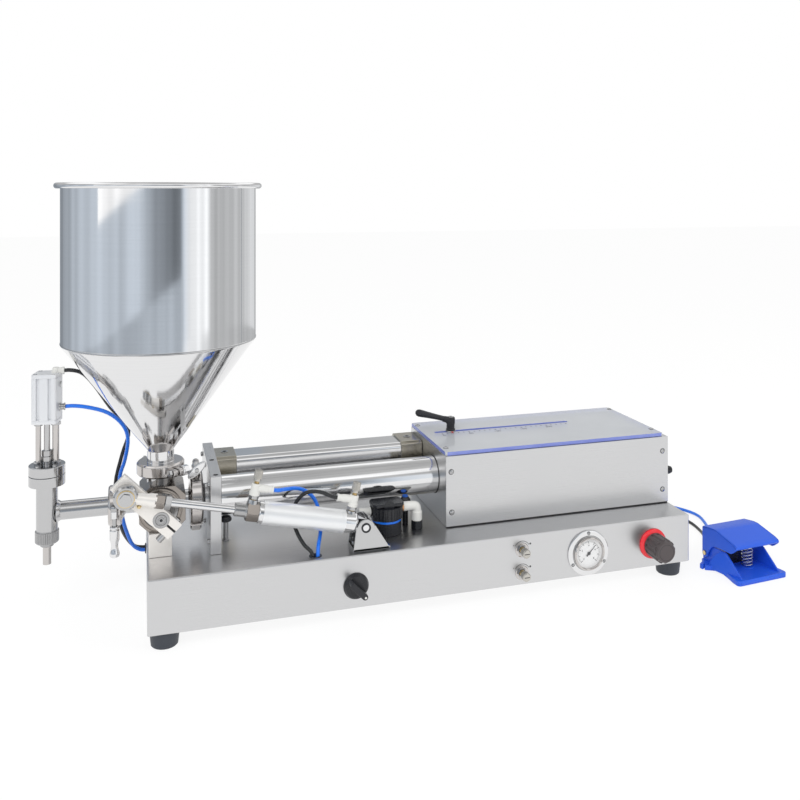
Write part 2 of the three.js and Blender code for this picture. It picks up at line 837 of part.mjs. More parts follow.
function makeCylinders() {
  const neckEnd = cylinderClampRight - clampLip - gap;
  const ferruleLeft = (cylinderClampLeft + cylinderClampRight) / 2 + gap / 2;
  const plate = cut(
    join(
      block(plateLeft, plateRight, plateFront, plateBack, deckZ, plateTop),
      bar('x', productY, productZ, cylinderNeckRadius, ferruleLeft, plateLeft + overrun, sides),
      bar('x', productY, productZ, cylinderFerrule, ferruleLeft, neckEnd, sidesFine),
    ),
    bar('x', productY, productZ, flowRadius, ferruleLeft - overrun, plateRight + overrun, sides),
    ...[plateHoleInset, plateHoleInset + plateHoleSpacing].map((inset) => bar('z', plateLeft + plateThick / 2,
      plateFront + inset, plateHoleRadius, plateTop - plateHoleDepth, plateTop + overrun, sidesSmall)),
  );
  piece('front_plate', plate, 'brushed');

  const tubeFrom = plateRight + gap;
  const tubeTo = boxLeft - gap;
  const tube = cut(
    bar('x', productY, productZ, tubeRadius, tubeFrom, tubeTo, sidesFine),
    bar('x', productY, productZ, tubeRadius - tubeWall, tubeFrom - overrun, tubeTo + overrun, sidesFine),
  );
  piece('product_tube', tube, 'polished');

  const capOutline = chamfered(airY - airHalf, airY + airHalf, airZ - airHalf, airZ + airHalf,
    airCorner / 2);
  const barrelHalf = airHalf - barrelInset;
  const barrelOutline = chamfered(airY - barrelHalf, airY + barrelHalf, airZ - barrelHalf,
    airZ + barrelHalf, airCorner);
  const leftEnd = plateRight + airCapLeftLength;
  const rightStart = boxLeft - airCapRightLength;
  piece('air_cap_left', prism('yz', capOutline, tubeFrom, leftEnd), 'champagne');
  const rightCap = cut(
    prism('yz', capOutline, rightStart, tubeTo),
    bar('x', airY, airZ, airRodRadius + gap, rightStart - overrun, tubeTo + overrun, sides),
  );
  piece('air_cap_right', rightCap, 'champagne');
  const barrel = cut(
    prism('yz', barrelOutline, leftEnd + gap, rightStart - gap),
    bar('x', airY, airZ, airBoreRadius, leftEnd, rightStart, sidesFine),
  );
  piece('air_barrel', barrel, 'polished');

  // Both pistons, their rods and the crosshead move as one
  const headLeft = boxLeft + endPlateThick + crossheadGap;
  const headRight = headLeft + crossheadThick;
  const productFrom = plateRight + pistonRest;
  const airFrom = leftEnd + pistonRest;
  const head = block(headLeft, headRight, productY - crossheadMargin, airY + crossheadMargin,
    productZ - crossheadDrop, productZ + crossheadRise);
  const pistons = join(
    head,
    bar('x', productY, productZ, productRodRadius, productFrom, headLeft + overrun, sides),
    bar('x', productY, productZ, tubeRadius - tubeWall - slack, productFrom,
      productFrom + productPistonThick, sidesFine),
    bar('x', airY, airZ, airRodRadius, airFrom, headLeft + overrun, sides),
    bar('x', airY, airZ, airBoreRadius - slack, airFrom, airFrom + airPistonThick, sidesFine),
  );
  piece('twin_piston', pistons, 'satin');
}

// Control box, lid, and the stroke stop in its slot
function makeBox() {
  const plateY0 = boxFront + panelSheet + gap;
  const plateY1 = boxBack - panelSheet - gap;
  const left = cut(
    block(boxLeft, boxLeft + endPlateThick, plateY0, plateY1, deckZ, boxTop),
    bar('x', productY, productZ, productRodRadius + slack, boxLeft - overrun,
      boxLeft + endPlateThick + overrun, sides),
    bar('x', airY, airZ, airRodRadius + slack, boxLeft - overrun, boxLeft + endPlateThick + overrun, sides),
  );
  piece('box_left_plate', left, 'brushed');
  const right = join(
    block(boxRight - endPlateThick, boxRight, plateY0, plateY1, deckZ, boxTop),
    bar('x', plugY, plugZ, plugRadius, boxRight - overrun, boxRight + plugReach, sidesSmall, plugRadius / 2),
  );
  piece('box_right_plate', right, 'brushed');
  const panel = (y) => block(boxLeft, boxRight, y, y + panelSheet, deckZ, boxTop);
  piece('box_front_panel', panel(boxFront), 'brushed');
  piece('box_back_panel', panel(boxBack - panelSheet), 'brushed');

  const lidLow = boxTop + gap;
  const lidHigh = lidLow + lidThick;
  const half = slotWidth / 2;
  const [cutLow, cutHigh] = [lidLow - overrun, lidHigh + overrun];
  const slot = join(
    block(slotLeft + half, slotRight - half, slotY - half, slotY + half, cutLow, cutHigh),
    bar('z', slotLeft + half, slotY, half, cutLow, cutHigh, sides),
    bar('z', slotRight - half, slotY, half, cutLow, cutHigh, sides),
  );
  const sheet = prism('xy', chamfered(boxLeft, lidRight, boxFront + panelSheet, boxBack, lidCorner),
    lidLow, lidHigh);
  const sensorHalf = sensorSize / 2;
  const sensor = block(sensorX - sensorHalf, sensorX + sensorHalf, sensorY - sensorHalf / 2,
    sensorY + sensorHalf / 2, lidLow - sensorHalf, lidLow + gap);
  piece('lid', join(cut(sheet, slot), sensor), 'clear');

  // Carriage, bar towards the left, stud and pointer ring
  const carriageTop = lidLow - gap;
  const carriageLow = carriageTop - carriageHeight;
  const carriage = join(
    block(stopX - carriageLength / 2, stopX + carriageLength / 2, slotY - carriageWidth / 2,
      slotY + carriageWidth / 2, carriageLow, carriageTop),
    block(stopX - carriageBarReach, stopX, slotY - carriageBar / 2, slotY + carriageBar / 2,
      carriageLow, carriageLow + carriageBar / 2),
    bar('z', stopX, slotY, studRadius, carriageLow, studTop, sidesSmall),
    bar('z', stopX, slotY, pointerRadius, lidHigh + gap, lidHigh + gap + pointerThick, sides),
  );
  piece('stop_carriage', carriage, 'cast');
  const hubSeat = lidHigh + gap + pointerThick + gap;
  const root = hubTop - armDrop;
  const handle = cut(
    join(
      bar('z', stopX, slotY, hubRadius, hubSeat, hubTop, sides),
      strut([stopX, slotY, root], [stopX - armReach, slotY, root + armRise], armRootRadius, armTipRadius),
      ball(stopX - armReach, slotY, root + armRise, armTipRadius),
    ),
    bar('z', stopX, slotY, studRadius + gap, hubSeat - overrun, studTop + gap, sidesSmall),
  );
  piece('stop_handle', handle, 'black');
}

// Hopper: rolled rim, cylinder, cone, neck and ferrule, hollow right through
function makeHopper() {
  const inner = hopperWall;
  const profile = [
    [neckRadius, ferruleLowZ + ferruleThick],
    [neckRadius, coneLowZ],
    [hopperRadius, coneTopZ],
    [hopperRadius, rimZ - 2 * beadRadius],
    [rimRadius, rimZ - 2 * beadRadius],
    [rimRadius + beadRadius / 2, rimZ - beadRadius],
    [rimRadius, rimZ],
    [hopperRadius - inner, rimZ],
    [hopperRadius - inner, coneTopZ],
    [neckRadius - inner, coneLowZ],
    [neckRadius - inner, ferruleLowZ],
    [ferruleRadius, ferruleLowZ],
    [ferruleRadius, ferruleLowZ + ferruleThick],
    [neckRadius, ferruleLowZ + ferruleThick],
  ];
  piece('hopper', turned(profile, hopperX, hopperY, 0), 'polished');
}

// Ring profile of a sanitary clamp: inner groove over the ferrules, a lip each side
function clampRing(low, high, outer, groove, lip) {
  return [
    [lip, low], [outer, low], [outer, high], [lip, high], [lip, high - clampLip],
    [groove, high - clampLip], [groove, low + clampLip], [lip, low + clampLip], [lip, low],
  ];
}

// Valve body on its support, with the three ports
function makeValve() {
  const outline = chamfered(valveLeft, valveRight, valveLow, valveTop, valveChamfer);
  const rightFerrule = (cylinderClampLeft + cylinderClampRight) / 2 - gap / 2;
  const leftFerrule = (outletClampLeft + outletClampRight) / 2 + gap / 2;
  const topFerrule = ferruleLowZ - gap;
  const body = join(
    prism('xz', outline, valveFront, valveBack),
    bar('y', valveX, valveZ, valveBossRadius + valveBossReach, valveFront - valveBossReach,
      valveFront + overrun, sidesFine),
    bar('x', productY, productZ, outletPipeRadius, valveRight - overrun, rightFerrule, sides),
    bar('x', productY, productZ, cylinderFerrule, cylinderClampLeft + clampLip + gap, rightFerrule,
      sidesFine),
    bar('x', productY, productZ, outletPipeRadius, leftFerrule, valveLeft + overrun, sides),
    bar('x', productY, productZ, outletFerrule, leftFerrule, outletClampRight - clampLip - gap, sidesFine),
    bar('z', hopperX, hopperY, neckRadius, valveTop - overrun, topFerrule, sides),
    bar('z', hopperX, hopperY, ferruleRadius, topFerrule - ferruleThick, topFerrule, sidesFine),
    block(valveX - supportHalfLeft, valveX + supportHalfRight, productY - supportHalfDepth,
      productY + supportHalfDepth, deckZ, valveLow + overrun),
  );
  const hollow = cut(
    body,
    bar('y', valveX, valveZ, rotorRadius + gap, valveFront - valveBossReach - overrun,
      valveFront + rotorDepth + gap, sidesFine),
    bar('x', productY, productZ, outletBore, leftFerrule - overrun, rightFerrule + overrun, sides),
    bar('z', hopperX, hopperY, neckRadius - hopperWall, valveZ, topFerrule + overrun, sides),
  );
  piece('valve_body', hollow, 'satin');

  // Rotor with an elbow passage from the top port to the right one
  const rotor = cut(
    join(
      bar('y', valveX, valveZ, rotorRadius, valveFront - valveBossReach, valveFront + rotorDepth, sidesFine),
      bar('y', valveX, valveZ, spindleRadius, spindleFront, valveFront, sides),
    ),
    bar('z', valveX, productY, outletBore, valveZ, valveZ + rotorRadius + overrun, sidesSmall),
    bar('x', productY, valveZ, outletBore, valveX, valveX + rotorRadius + overrun, sidesSmall),
    ball(valveX, productY, valveZ, outletBore, sidesSmall),
  );
  piece('valve_rotor', rotor, 'satin');

  // Lever: a bar with a split hub, drawn along its own length and turned to its rest angle
  const half = leverWidth / 2;
  const shape = new THREE.Shape();
  shape.moveTo(-leverTail, -half);
  shape.lineTo(leverReach, -half);
  shape.lineTo(leverReach, half);
  shape.lineTo(-leverTail, half);
  shape.closePath();
  const upright = prism('xz', shape, 0, leverThick);
  const split = block(-leverTail - overrun, 0, -overrun, leverThick + overrun, -leverSplit / 2,
    leverSplit / 2);
  const bore = bar('y', 0, 0, spindleRadius + gap, -overrun, leverThick + overrun, sides);
  const geometry = surface(cut(upright, split, bore));
  geometry.rotateY(-leverAngle * degree).translate(valveX, leverFront, valveZ);
  piece('valve_lever', geometry, 'cast');
}

// Two ears with a bolt across them, drawn with the ring's centre at the origin:
// +X points outwards, Y runs along the bolt and Z along the ring's own axis
function clampEars(ringRadius, nutSide) {
  const far = earSplit / 2 + earThick;
  const boltReach = ringRadius + earRise / 2;
  const nutEnd = far + gap + nutLength;
  const bolt = bar('y', boltReach, 0, boltRadius, nutSide > 0 ? -far - nutRadius / 2 : -nutEnd,
    nutSide > 0 ? nutEnd : far + nutRadius / 2, sidesSmall);
  const ears = block(ringRadius - earSplit, ringRadius + earRise, -far, far, -earWidth / 2, earWidth / 2);
  return join(ears, bolt);
}

function nutHole(ringRadius) {
  const far = earSplit / 2 + earThick + gap + nutLength + overrun;
  return bar('y', ringRadius + earRise / 2, 0, boltRadius + gap, -far, far, sidesSmall);
}

// A solid turned about one axis by degrees, then moved
function set(body, axis, turn, x, y, z) {
  const geometry = surface(body);
  if (axis === 'y') geometry.rotateY(turn * degree);
  if (axis === 'z') geometry.rotateZ(turn * degree);
  geometry.translate(x, y, z);
  return solid(geometry);
}

// The three clamps with their nuts
function makeClamps() {
  const far = earSplit / 2 + earThick + gap;
  const hopperLow = ferruleLowZ - ferruleThick - clampLip - 2 * gap;
  const hopperHigh = ferruleLowZ + ferruleThick + clampLip + gap;
  const hopperMiddle = (hopperLow + hopperHigh) / 2;
  const hopperRing = turned(clampRing(hopperLow, hopperHigh, hopperClampRadius,
    ferruleRadius + gap, neckRadius + slack), hopperX, hopperY, 0);
  const hopperEars = set(clampEars(hopperClampRadius, 1), 'z', hopperEarAngle, hopperX, hopperY, hopperMiddle);
  piece('hopper_clamp', join(hopperRing, hopperEars), 'polished');
  const plainNut = cut(
    bar('y', hopperClampRadius + earRise / 2, 0, nutRadius, far, far + nutLength, sidesHex),
    nutHole(hopperClampRadius),
  );
  piece('hopper_clamp_nut', set(plainNut, 'z', hopperEarAngle, hopperX, hopperY, hopperMiddle), 'polished');

  const cylinderMiddle = (cylinderClampLeft + cylinderClampRight) / 2;
  const cylinderRing = turned(clampRing(cylinderClampLeft, cylinderClampRight, cylinderClampRadius,
    cylinderFerrule + gap, cylinderNeckRadius + slack), 0, productY, productZ, sidesFine, 'x');
  const cylinderEars = set(clampEars(cylinderClampRadius, -1), 'y', -90, cylinderMiddle, productY, productZ);
  piece('cylinder_clamp', join(cylinderRing, cylinderEars), 'polished');
  const boltReach = cylinderClampRadius + earRise / 2;
  const wingNut = cut(
    join(
      bar('y', boltReach, 0, nutRadius, -far - nutLength - wingHeight, -far, sides),
      block(boltReach - wingThick / 2, boltReach + wingThick / 2, -far - nutLength - wingHeight,
        -far - nutLength, -wingReach, wingReach),
    ),
    nutHole(cylinderClampRadius),
  );
  piece('cylinder_clamp_nut', set(wingNut, 'y', -90, cylinderMiddle, productY, productZ), 'polished');

  const outletMiddle = (outletClampLeft + outletClampRight) / 2;
  const outletRing = turned(clampRing(outletClampLeft, outletClampRight, outletClampRadius,
    outletFerrule + gap, outletPipeRadius + slack), 0, productY, productZ, sidesFine, 'x');
  const ringFront = productY - outletClampRadius;
  const outlet = join(
    outletRing,
    block(outletMiddle - earWidth / 2, outletMiddle + earWidth / 2, outletBoltY - boltRadius,
      ringFront + earSplit, productZ - earWidth / 2, productZ + earWidth / 2),
    bar('z', outletMiddle, outletBoltY, boltRadius, longNutLow + overrun, productZ, sidesSmall),
  );
  piece('outlet_clamp', outlet, 'polished');
  const longNut = cut(
    bar('z', outletMiddle, outletBoltY, longNutRadius, longNutLow, longNutTop, sides),
    bar('z', outletMiddle, outletBoltY, boltRadius + gap, longNutLow - overrun, longNutTop + overrun,
      sidesSmall),
  );
  piece('outlet_clamp_nut', longNut, 'polished');
}

// Air actuator of the valve, drawn along its own axis from the pivot pin towards -X
function makeActuator() {
  const actuator = new THREE.Group();
  actuator.position.set(pinX, actuatorY, pinZ);
  actuator.rotation.y = actuatorTilt * degree;
  machine.add(actuator);
  const fittings = [fittingFront, fittingRear].map((place, i) => {
    const inward = i === 0 ? 1 : -1;
    const arm = [-place, -place + inward * fittingArm].sort((a, b) => a - b);
    return join(
      bar('z', -place, 0, fittingStemRadius, barrelBore - gap, fittingLow + overrun, sidesSmall),
      bar('z', -place, 0, fittingRadius, fittingLow, fittingHigh, sidesSmall),
      bar('x', 0, fittingArmZ, fittingArmRadius, ...arm, sidesSmall),
    );
  });
  const shell = join(
    bar('x', 0, 0, barrelRadius, -barrelFront, -barrelRear, sidesFine),
    bar('x', 0, 0, capRadius, -frontCapEnd, -barrelFront + overrun, sides),
    bar('x', 0, 0, noseNutRadius, -noseNutEnd, -frontCapEnd + overrun, sidesHex),
    bar('x', 0, 0, noseRadius, -noseEnd, -noseNutEnd + overrun, sides),
    bar('x', 0, 0, capRadius, -barrelRear - overrun, -rearCapEnd, sides),
    block(-rearCapEnd - overrun, lugEnd, -lugHalf, lugHalf, -lugRise, lugRise),
    ...fittings,
  );
  const barrel = cut(
    shell,
    bar('x', 0, 0, barrelBore, -barrelFront, -barrelRear, sides),
    bar('x', 0, 0, rodRadius + gap, -noseEnd - overrun, -barrelFront + overrun, sides),
    bar('y', 0, 0, pinRadius + gap, -lugHalf - overrun, lugHalf + overrun, sides),
    ...[fittingFront, fittingRear].map((place) => bar('z', -place, 0, screwNeck + gap,
      fittingHigh - overrun, fittingHigh + overrun, sidesSmall)),
  );
  piece('actuator_barrel', barrel, 'satin', actuator);
  [fittingFront, fittingRear].forEach((place, i) => {
    const screw = join(
      bar('z', -place, 0, screwNeck, fittingHigh - overrun + gap, screwNeckHigh + overrun, sidesSmall),
      bar('z', -place, 0, screwRadius, screwNeckHigh, screwHigh, sidesSmall),
    );
    piece(i === 0 ? 'flow_screw_front' : 'flow_screw_rear', screw, 'satin', actuator);
  });
  const rod = join(
    bar('x', 0, 0, rodRadius, -rodNutRear - overrun, -rodPistonRear, sides),
    bar('x', 0, 0, barrelBore - gap, -rodPistonFront, -rodPistonRear, sides),
    bar('x', 0, 0, rodNutRadius, -rodNutFront, -rodNutRear, sidesHex),
    bar('x', 0, 0, shankRadius, -pinToEye, -rodNutFront + overrun, sides),
    bar('y', -pinToEye, 0, rodEyeRadius, -rodEyeHalf, rodEyeHalf, sides),
    bar('y', -pinToEye, 0, eyeBoltRadius, -rodEyeHalf - overrun, leverFront - gap - actuatorY, sidesSmall),
    bar('y', -pinToEye, 0, eyeBoltHead, -rodEyeHalf - 2 * overrun, -rodEyeHalf, sidesHex),
  );
  piece('actuator_rod', rod, 'satin', actuator);

  const cheek = [
    [bracketLeft, deckZ], [bracketRight, deckZ], [pinX + bracketTopHalf, bracketTop],
    [pinX - bracketTopHalf, bracketTop],
  ];
  const near = actuatorY - bracketInner;
  const far = actuatorY + bracketInner;
  const bracket = join(
    block(bracketLeft, bracketRight, near - bracketSheet, far + bracketSheet, deckZ, deckZ + bracketFloor),
    prism('xz', cheek, near - bracketSheet, near),
    prism('xz', cheek, far, far + bracketSheet),
    bar('y', pinX, pinZ, pinRadius, near - overrun, far + overrun, sides),
    bar('y', pinX, pinZ, pinHeadRadius, near - bracketSheet - pinHeadThick, near - bracketSheet + gap, sides),
  );
  piece('actuator_bracket', bracket, 'brushed');
}

// Dosing head: T body with flange, posts, air cylinder and shut-off stem
function makeDosingHead() {
  const pipeEnd = (outletClampLeft + outletClampRight) / 2 - gap / 2;
  const body = cut(
    join(
      bar('z', doseX, doseY, doseRadius, doseBodyLow - overrun, doseBodyHigh + overrun, sides),
      bar('x', productY, productZ, outletPipeRadius, doseX, pipeEnd, sides),
      bar('x', productY, productZ, outletFerrule, outletClampLeft + clampLip + gap, pipeEnd, sidesFine),
      bar('z', doseX, doseY, doseFlangeRadius, doseBodyHigh, doseFlangeSplit, sidesFine),
      bar('z', doseX, doseY, nozzleNutRadius, nozzleNutLow, doseBodyLow, sides),
      bar('z', doseX, doseY, nozzleRadius, nozzleLow, nozzleNutLow + overrun, sides),
    ),
    bar('z', doseX, doseY, doseRadius - doseWall, nozzleNutLow + overrun, doseFlangeSplit + overrun, sides),
    bar('z', doseX, doseY, nozzleBore, nozzleLow - overrun, nozzleNutLow + 2 * overrun, sides),
    bar('x', productY, productZ, outletBore, doseX, pipeEnd + overrun, sides),
  );
  piece('dosing_body', body, 'satin');
  const postTop = doseFlangeHigh + postRise;
  const flange = cut(
    join(
      bar('z', doseX, doseY, doseFlangeRadius, doseFlangeSplit + gap, doseFlangeHigh, sidesFine),
      bar('z', doseX - postLeft, doseY, postLeftRadius, doseFlangeHigh - overrun, postTop, sidesSmall),
      bar('z', doseX + postRight, doseY, postRightRadius, doseFlangeHigh - overrun, postTop, sidesSmall),
    ),
    bar('z', doseX, doseY, stemRadius + gap, doseFlangeSplit - overrun, doseFlangeHigh + overrun, sides),
  );
  piece('dosing_flange', flange, 'satin');

  const half = doseCylinderSide / 2;
  const groove = (x) => block(x - grooveWidth / 2, x + grooveWidth / 2, -half - overrun,
    -half + grooveDepth, doseCylinderLow - overrun, doseCylinderHigh + overrun);
  const cylinder = cut(
    block(-half, half, -half, half, doseCylinderLow, doseCylinderHigh),
    groove(-half / 2),
    groove(half / 2),
    bar('z', 0, 0, doseBore, doseCylinderLow + 2 * overrun, doseCylinderHigh - doseBoreTop, sides),
    bar('z', 0, 0, stemRadius + gap, doseCylinderLow - overrun, stemPistonLow, sides),
  );
  const withFittings = join(
    set(cylinder, 'z', doseCylinderTurn, doseX, doseY, 0),
    bar('z', elbowX, doseY, elbowRadius, doseCylinderHigh - overrun, elbowZ + elbowRadius, sidesSmall),
    bar('x', doseY, elbowZ, elbowRadius - gap, elbowX, elbowX + elbowReach, sidesSmall),
    bar('x', doseY, sideFittingZ, elbowRadius, doseX + half - overrun, doseX + half + elbowReach / 2 + overrun,
      sidesSmall),
  );
  piece('dosing_cylinder', withFittings, 'satin');
  const stem = join(
    bar('z', doseX, doseY, stemRadius, stemLow, stemPistonHigh, sides),
    bar('z', doseX, doseY, stemNutRadius, stemNutLow, stemNutHigh, sidesHex),
    bar('z', doseX, doseY, doseBore - slack, stemPistonLow, stemPistonHigh, sides),
  );
  piece('dosing_stem', stem, 'satin');
}

// Black quick exhaust unit and the hand knob, both on the base's top
function makeDeckPieces() {
  const middleX = (exhaustLeft + exhaustRight) / 2;
  const middleY = (exhaustFront + exhaustBack) / 2;
  const unit = join(
    block(exhaustLeft, exhaustRight, exhaustFront, exhaustBack, exhaustLow, exhaustTop),
    bar('z', middleX, middleY, exhaustRingRadius, deckZ, exhaustLow + overrun, sides),
    bar('x', middleY, exhaustArmZ, exhaustArmRadius, exhaustLeft - exhaustHex, exhaustArmX, sidesSmall),
    bar('z', exhaustArmX, middleY, exhaustArmRadius, deckZ, exhaustArmZ + exhaustArmRadius, sidesSmall),
    bar('z', exhaustArmX, middleY, exhaustHex, deckZ, deckZ + exhaustHexTall, sidesHex),
  );
  piece('quick_exhaust', unit, 'black');
  const knob = join(
    bar('z', knobX, knobY, knobStemRadius, deckZ, knobLow + overrun, sidesSmall),
    bar('z', knobX, knobY, knobRadius, knobLow, knobTop, sides, knobRadius - overrun),
  );
  piece('hand_knob', knob, 'black');
}

// Selector, two needle valves, gauge and regulator on the front
function makePanel() {
  const stem = (x, z) => bar('y', x, z, stemRadiusPanel, -selectorSkirt, stemReach, sidesSmall);
  const gripHalf = selectorGripWidth / 2;
  const selector = join(
    stem(selectorX, selectorZ),
    bar('y', selectorX, selectorZ, selectorRadius - overrun, -selectorSkirt, -gap, sidesFine, selectorRadius),
    block(selectorX - gripHalf, selectorX + gripHalf, -selectorGrip, -selectorSkirt + gap,
      selectorZ - selectorRadius + overrun, selectorZ + selectorRadius - overrun),
  );
  piece('selector_knob', selector, 'black');
  [needleHighZ, needleLowZ].forEach((z, i) => {
    const knob = join(
      stem(needleX, z),
      bar('y', needleX, z, needleRadius, -needleReach, -needleSeat, sides),
      bar('y', needleX, z, needleRadius - overrun, -needleSeat - overrun, -gap, sidesHex),
    );
    piece(`needle_knob_${i + 1}`, knob, 'satin');
  });

  const gauge = cut(
    join(
      bar('y', gaugeX, gaugeZ, gaugeFlangeRadius, -gap - gaugeFlangeThick, -gap, sidesFine),
      bar('y', gaugeX, gaugeZ, gaugeBezelRadius, -gaugeBezelReach, -gaugeFlangeThick, sidesFine),
      bar('y', gaugeX, gaugeZ, gaugeCanRadius, -gaugeFlangeThick, gaugeCanDepth, sidesFine),
    ),
    bar('y', gaugeX, gaugeZ, gaugeWindowRadius, -gaugeBezelReach - overrun, gaugeWindowDepth - gaugeBezelReach,
      sidesFine),
  );
  piece('gauge_body', gauge, 'dial');
  const dialY = gaugeWindowDepth - gaugeBezelReach;
  const bladeFront = dialY - gap - 2 * pointerBlade;
  const blade = prism('xz', [
    [-pointerTail, -pointerHalf], [pointerLength, -pointerHalf / 2], [pointerLength, pointerHalf / 2],
    [-pointerTail, pointerHalf],
  ], bladeFront, bladeFront + pointerBlade);
  const pointer = join(blade, bar('y', 0, 0, pointerHub, bladeFront - gap, dialY - gap, sidesSmall));
  piece('gauge_needle', set(pointer, 'y', pointerRest, gaugeX, 0, gaugeZ), 'black');

  const body = cut(
    join(
      bar('y', regulatorX, regulatorZ, regulatorRingRadius, -regulatorRingReach, -gap, sidesFine),
      bar('y', regulatorX, regulatorZ, regulatorNeck, -overrun, baseSheet + overrun, sides),
      bar('y', regulatorX, regulatorZ, regulatorBodyRadius, baseSheet + gap, regulatorDepth, sides),
    ),
    bar('y', regulatorX, regulatorZ, stemRadiusPanel + gap, -regulatorRingReach - overrun, stemReach + gap,
      sides),
  );
  piece('regulator_body', body, 'red');
  // Ribbed grip: an outline whose radius steps out and in
  const grip = [];
  for (let i = 0; i < 4 * ribCount; i += 1) {
    const turn = (i / (4 * ribCount)) * 2 * halfTurn;
    const radius = i % 4 < 2 ? regulatorKnobRadius : regulatorKnobRadius - ribDepth;
    grip.push([regulatorX + radius * Math.cos(turn), regulatorZ + radius * Math.sin(turn)]);
  }
  const regulator = join(
    prism('xz', grip, -regulatorGripEnd, -regulatorRingReach - gap),
    bar('y', regulatorX, regulatorZ, regulatorKnobTip, -regulatorReach, -regulatorGripEnd + overrun, sides,
      regulatorKnobRadius - ribDepth),
    bar('y', regulatorX, regulatorZ, stemRadiusPanel, -regulatorGripEnd, stemReach, sidesSmall),
  );
  piece('regulator_knob', regulator, 'black');
}

// Union at the base's back for the pedal hoses
const unionFace = baseDepth + unionReach + hoseStraight;

function makeUnion() {
  const nippleStart = baseDepth - baseSheet - unionReach;
  const nipple = (x) => bar('y', x, unionZ, portRadiusHose, nippleStart, unionFace, sidesSmall);
  const union = join(
    block(unionLeft, unionRight, baseDepth + gap, baseDepth + unionReach, unionZ - unionHalf,
      unionZ + unionHalf),
    nipple(bluePortX),
    nipple(blackPortX),
  );
  piece('hose_union', union, 'satin');
}

// Foot pedal in its own group: base with ears and pin, valve, cover and spring
function makePedal() {
  const pedal = new THREE.Group();
  pedal.position.set(pedalX, pedalY, floorZ);
  pedal.rotation.z = pedalTurn * degree;
  machine.add(pedal);
  const plan = [
    [-pedalHalf, pedalToe], [pedalHalf, pedalToe], [pedalWaistHalf, pedalWaistY],
    [pedalEarHalf, pedalEarFront], [pedalEarHalf, pedalEarBack], [pedalWaistHalf, pedalHeel],
    [-pedalWaistHalf, pedalHeel], [-pedalEarHalf, pedalEarBack], [-pedalEarHalf, pedalEarFront],
    [-pedalWaistHalf, pedalWaistY],
  ];
  const cheek = [
    [cheekToeY, 0], [pedalHeel, 0], [pedalHeel, pedalValveTop], [coverBackY, cheekTopZ],
    [cheekTopY, cheekTopZ], [cheekToeY, pedalToeHigh],
  ];
  const pinHalf = coverHalf + pedalPinReach;
  const base = join(
    prism('xy', plan, gap, pedalFloor),
    block(-pedalHalf, pedalHalf, pedalToe, pedalToe + pedalToeLength, gap, pedalToeHigh),
    prism('yz', cheek, cheekHalf - cheekThick, cheekHalf),
    prism('yz', cheek, -cheekHalf, cheekThick - cheekHalf),
    bar('z', springX, springY, springSeatRadius, pedalFloor - gap, springLow - gap, sides),
    block(-pedalValveHalf, pedalValveHalf, pedalValveFront, pedalValveBack, pedalFloor - gap, pedalValveTop),
    ...[portBlueX, portBlackX].map((x) => bar('y', x, portZ, portRadiusHose, pedalValveBack - overrun,
      pedalValveBack + portReach, sidesSmall)),
    bar('x', pedalPinY, pedalPinZ, pedalPinRadius, -pinHalf, pinHalf, sides),
  );
  piece('pedal_base', base, 'blue', pedal);

  // Cover: bent top with two side walls, hung on the pin
  const outer = [
    [coverLipY, coverLipZ], [coverLowY, coverLowZ], [coverArchY, coverArchZ],
    [pedalPinY - coverBoss, pedalPinZ], [pedalPinY - coverBoss / 2, pedalPinZ - coverBoss],
    [pedalPinY + coverBoss / 2, pedalPinZ - coverBoss],
    [coverBackY, pedalPinZ], [coverBackY, coverBackZ], [coverArchY, coverBendZ], [coverBendY, coverBendZ],
  ];
  const hollow = [
    [coverLipY - overrun, 0], [coverBackY + overrun, 0], [coverBackY + overrun, coverBackZ - coverSheet],
    [coverArchY, coverBendZ - coverSheet], [coverBendY, coverBendZ - coverSheet],
    [coverLipY, coverLipZ - coverSheet], [coverLipY - overrun, coverLipZ - coverSheet],
  ];
  const cover = cut(
    join(
      cut(
        prism('yz', outer, -coverHalf, coverHalf),
        prism('yz', hollow, coverSheet - coverHalf, coverHalf - coverSheet),
      ),
      bar('z', springX, springY, springRadius, springHigh + gap, (coverLipZ + coverBendZ) / 2, sidesSmall),
    ),
    bar('x', pedalPinY, pedalPinZ, pedalPinRadius + gap, -pedalEarHalf, pedalEarHalf, sides),
  );
  piece('pedal_cover', cover, 'blue', pedal);

  // Coil spring: flat end turns and open curls between
  const steps = springCurls * curlSteps;
  const low = springLow + springWire;
  const rise = springHigh - springLow - 2 * springWire;
  const points = [];
  for (let i = 0; i <= steps; i += 1) {
    const turn = (i / steps) * springCurls * 2 * halfTurn;
    points.push(new THREE.Vector3(springX + springRadius * Math.cos(turn),
      springY + springRadius * Math.sin(turn), low + rise * (i / steps)));
  }
  console.log(`pedal_spring least gap ${leastGap(points, springWire, curlSteps - 2).toFixed(2)} mm`);
  piece('pedal_spring', windTube(points, springWire, curlSides), 'satin', pedal);
}

// Loops of a hose on the floor: in along one layer, out along the next
const hoseFloor = floorZ + hoseRadius + gap;

function coilPoints(x) {
  const middle = coilTurns / 2;
  const points = [new THREE.Vector3(x + coilRadius, coilY - hoseStraight, hoseFloor)];
  for (let i = 0; i <= coilTurns * coilSteps; i += 1) {
    const turns = i / coilSteps;
    const radius = coilRadius + coilPitch * (Math.abs(turns - middle) - middle);
    const climb = THREE.MathUtils.clamp(2 * (turns - middle) + 1 / 2, 0, 1);
    const turn = turns * 2 * halfTurn;
    points.push(new THREE.Vector3(x + radius * Math.cos(turn), coilY + radius * Math.sin(turn),
      hoseFloor + coilClimb * climb));
  }
  points.push(new THREE.Vector3(x + hoseStraight, coilY - coilRadius, hoseFloor + coilClimb));
  return points;
}

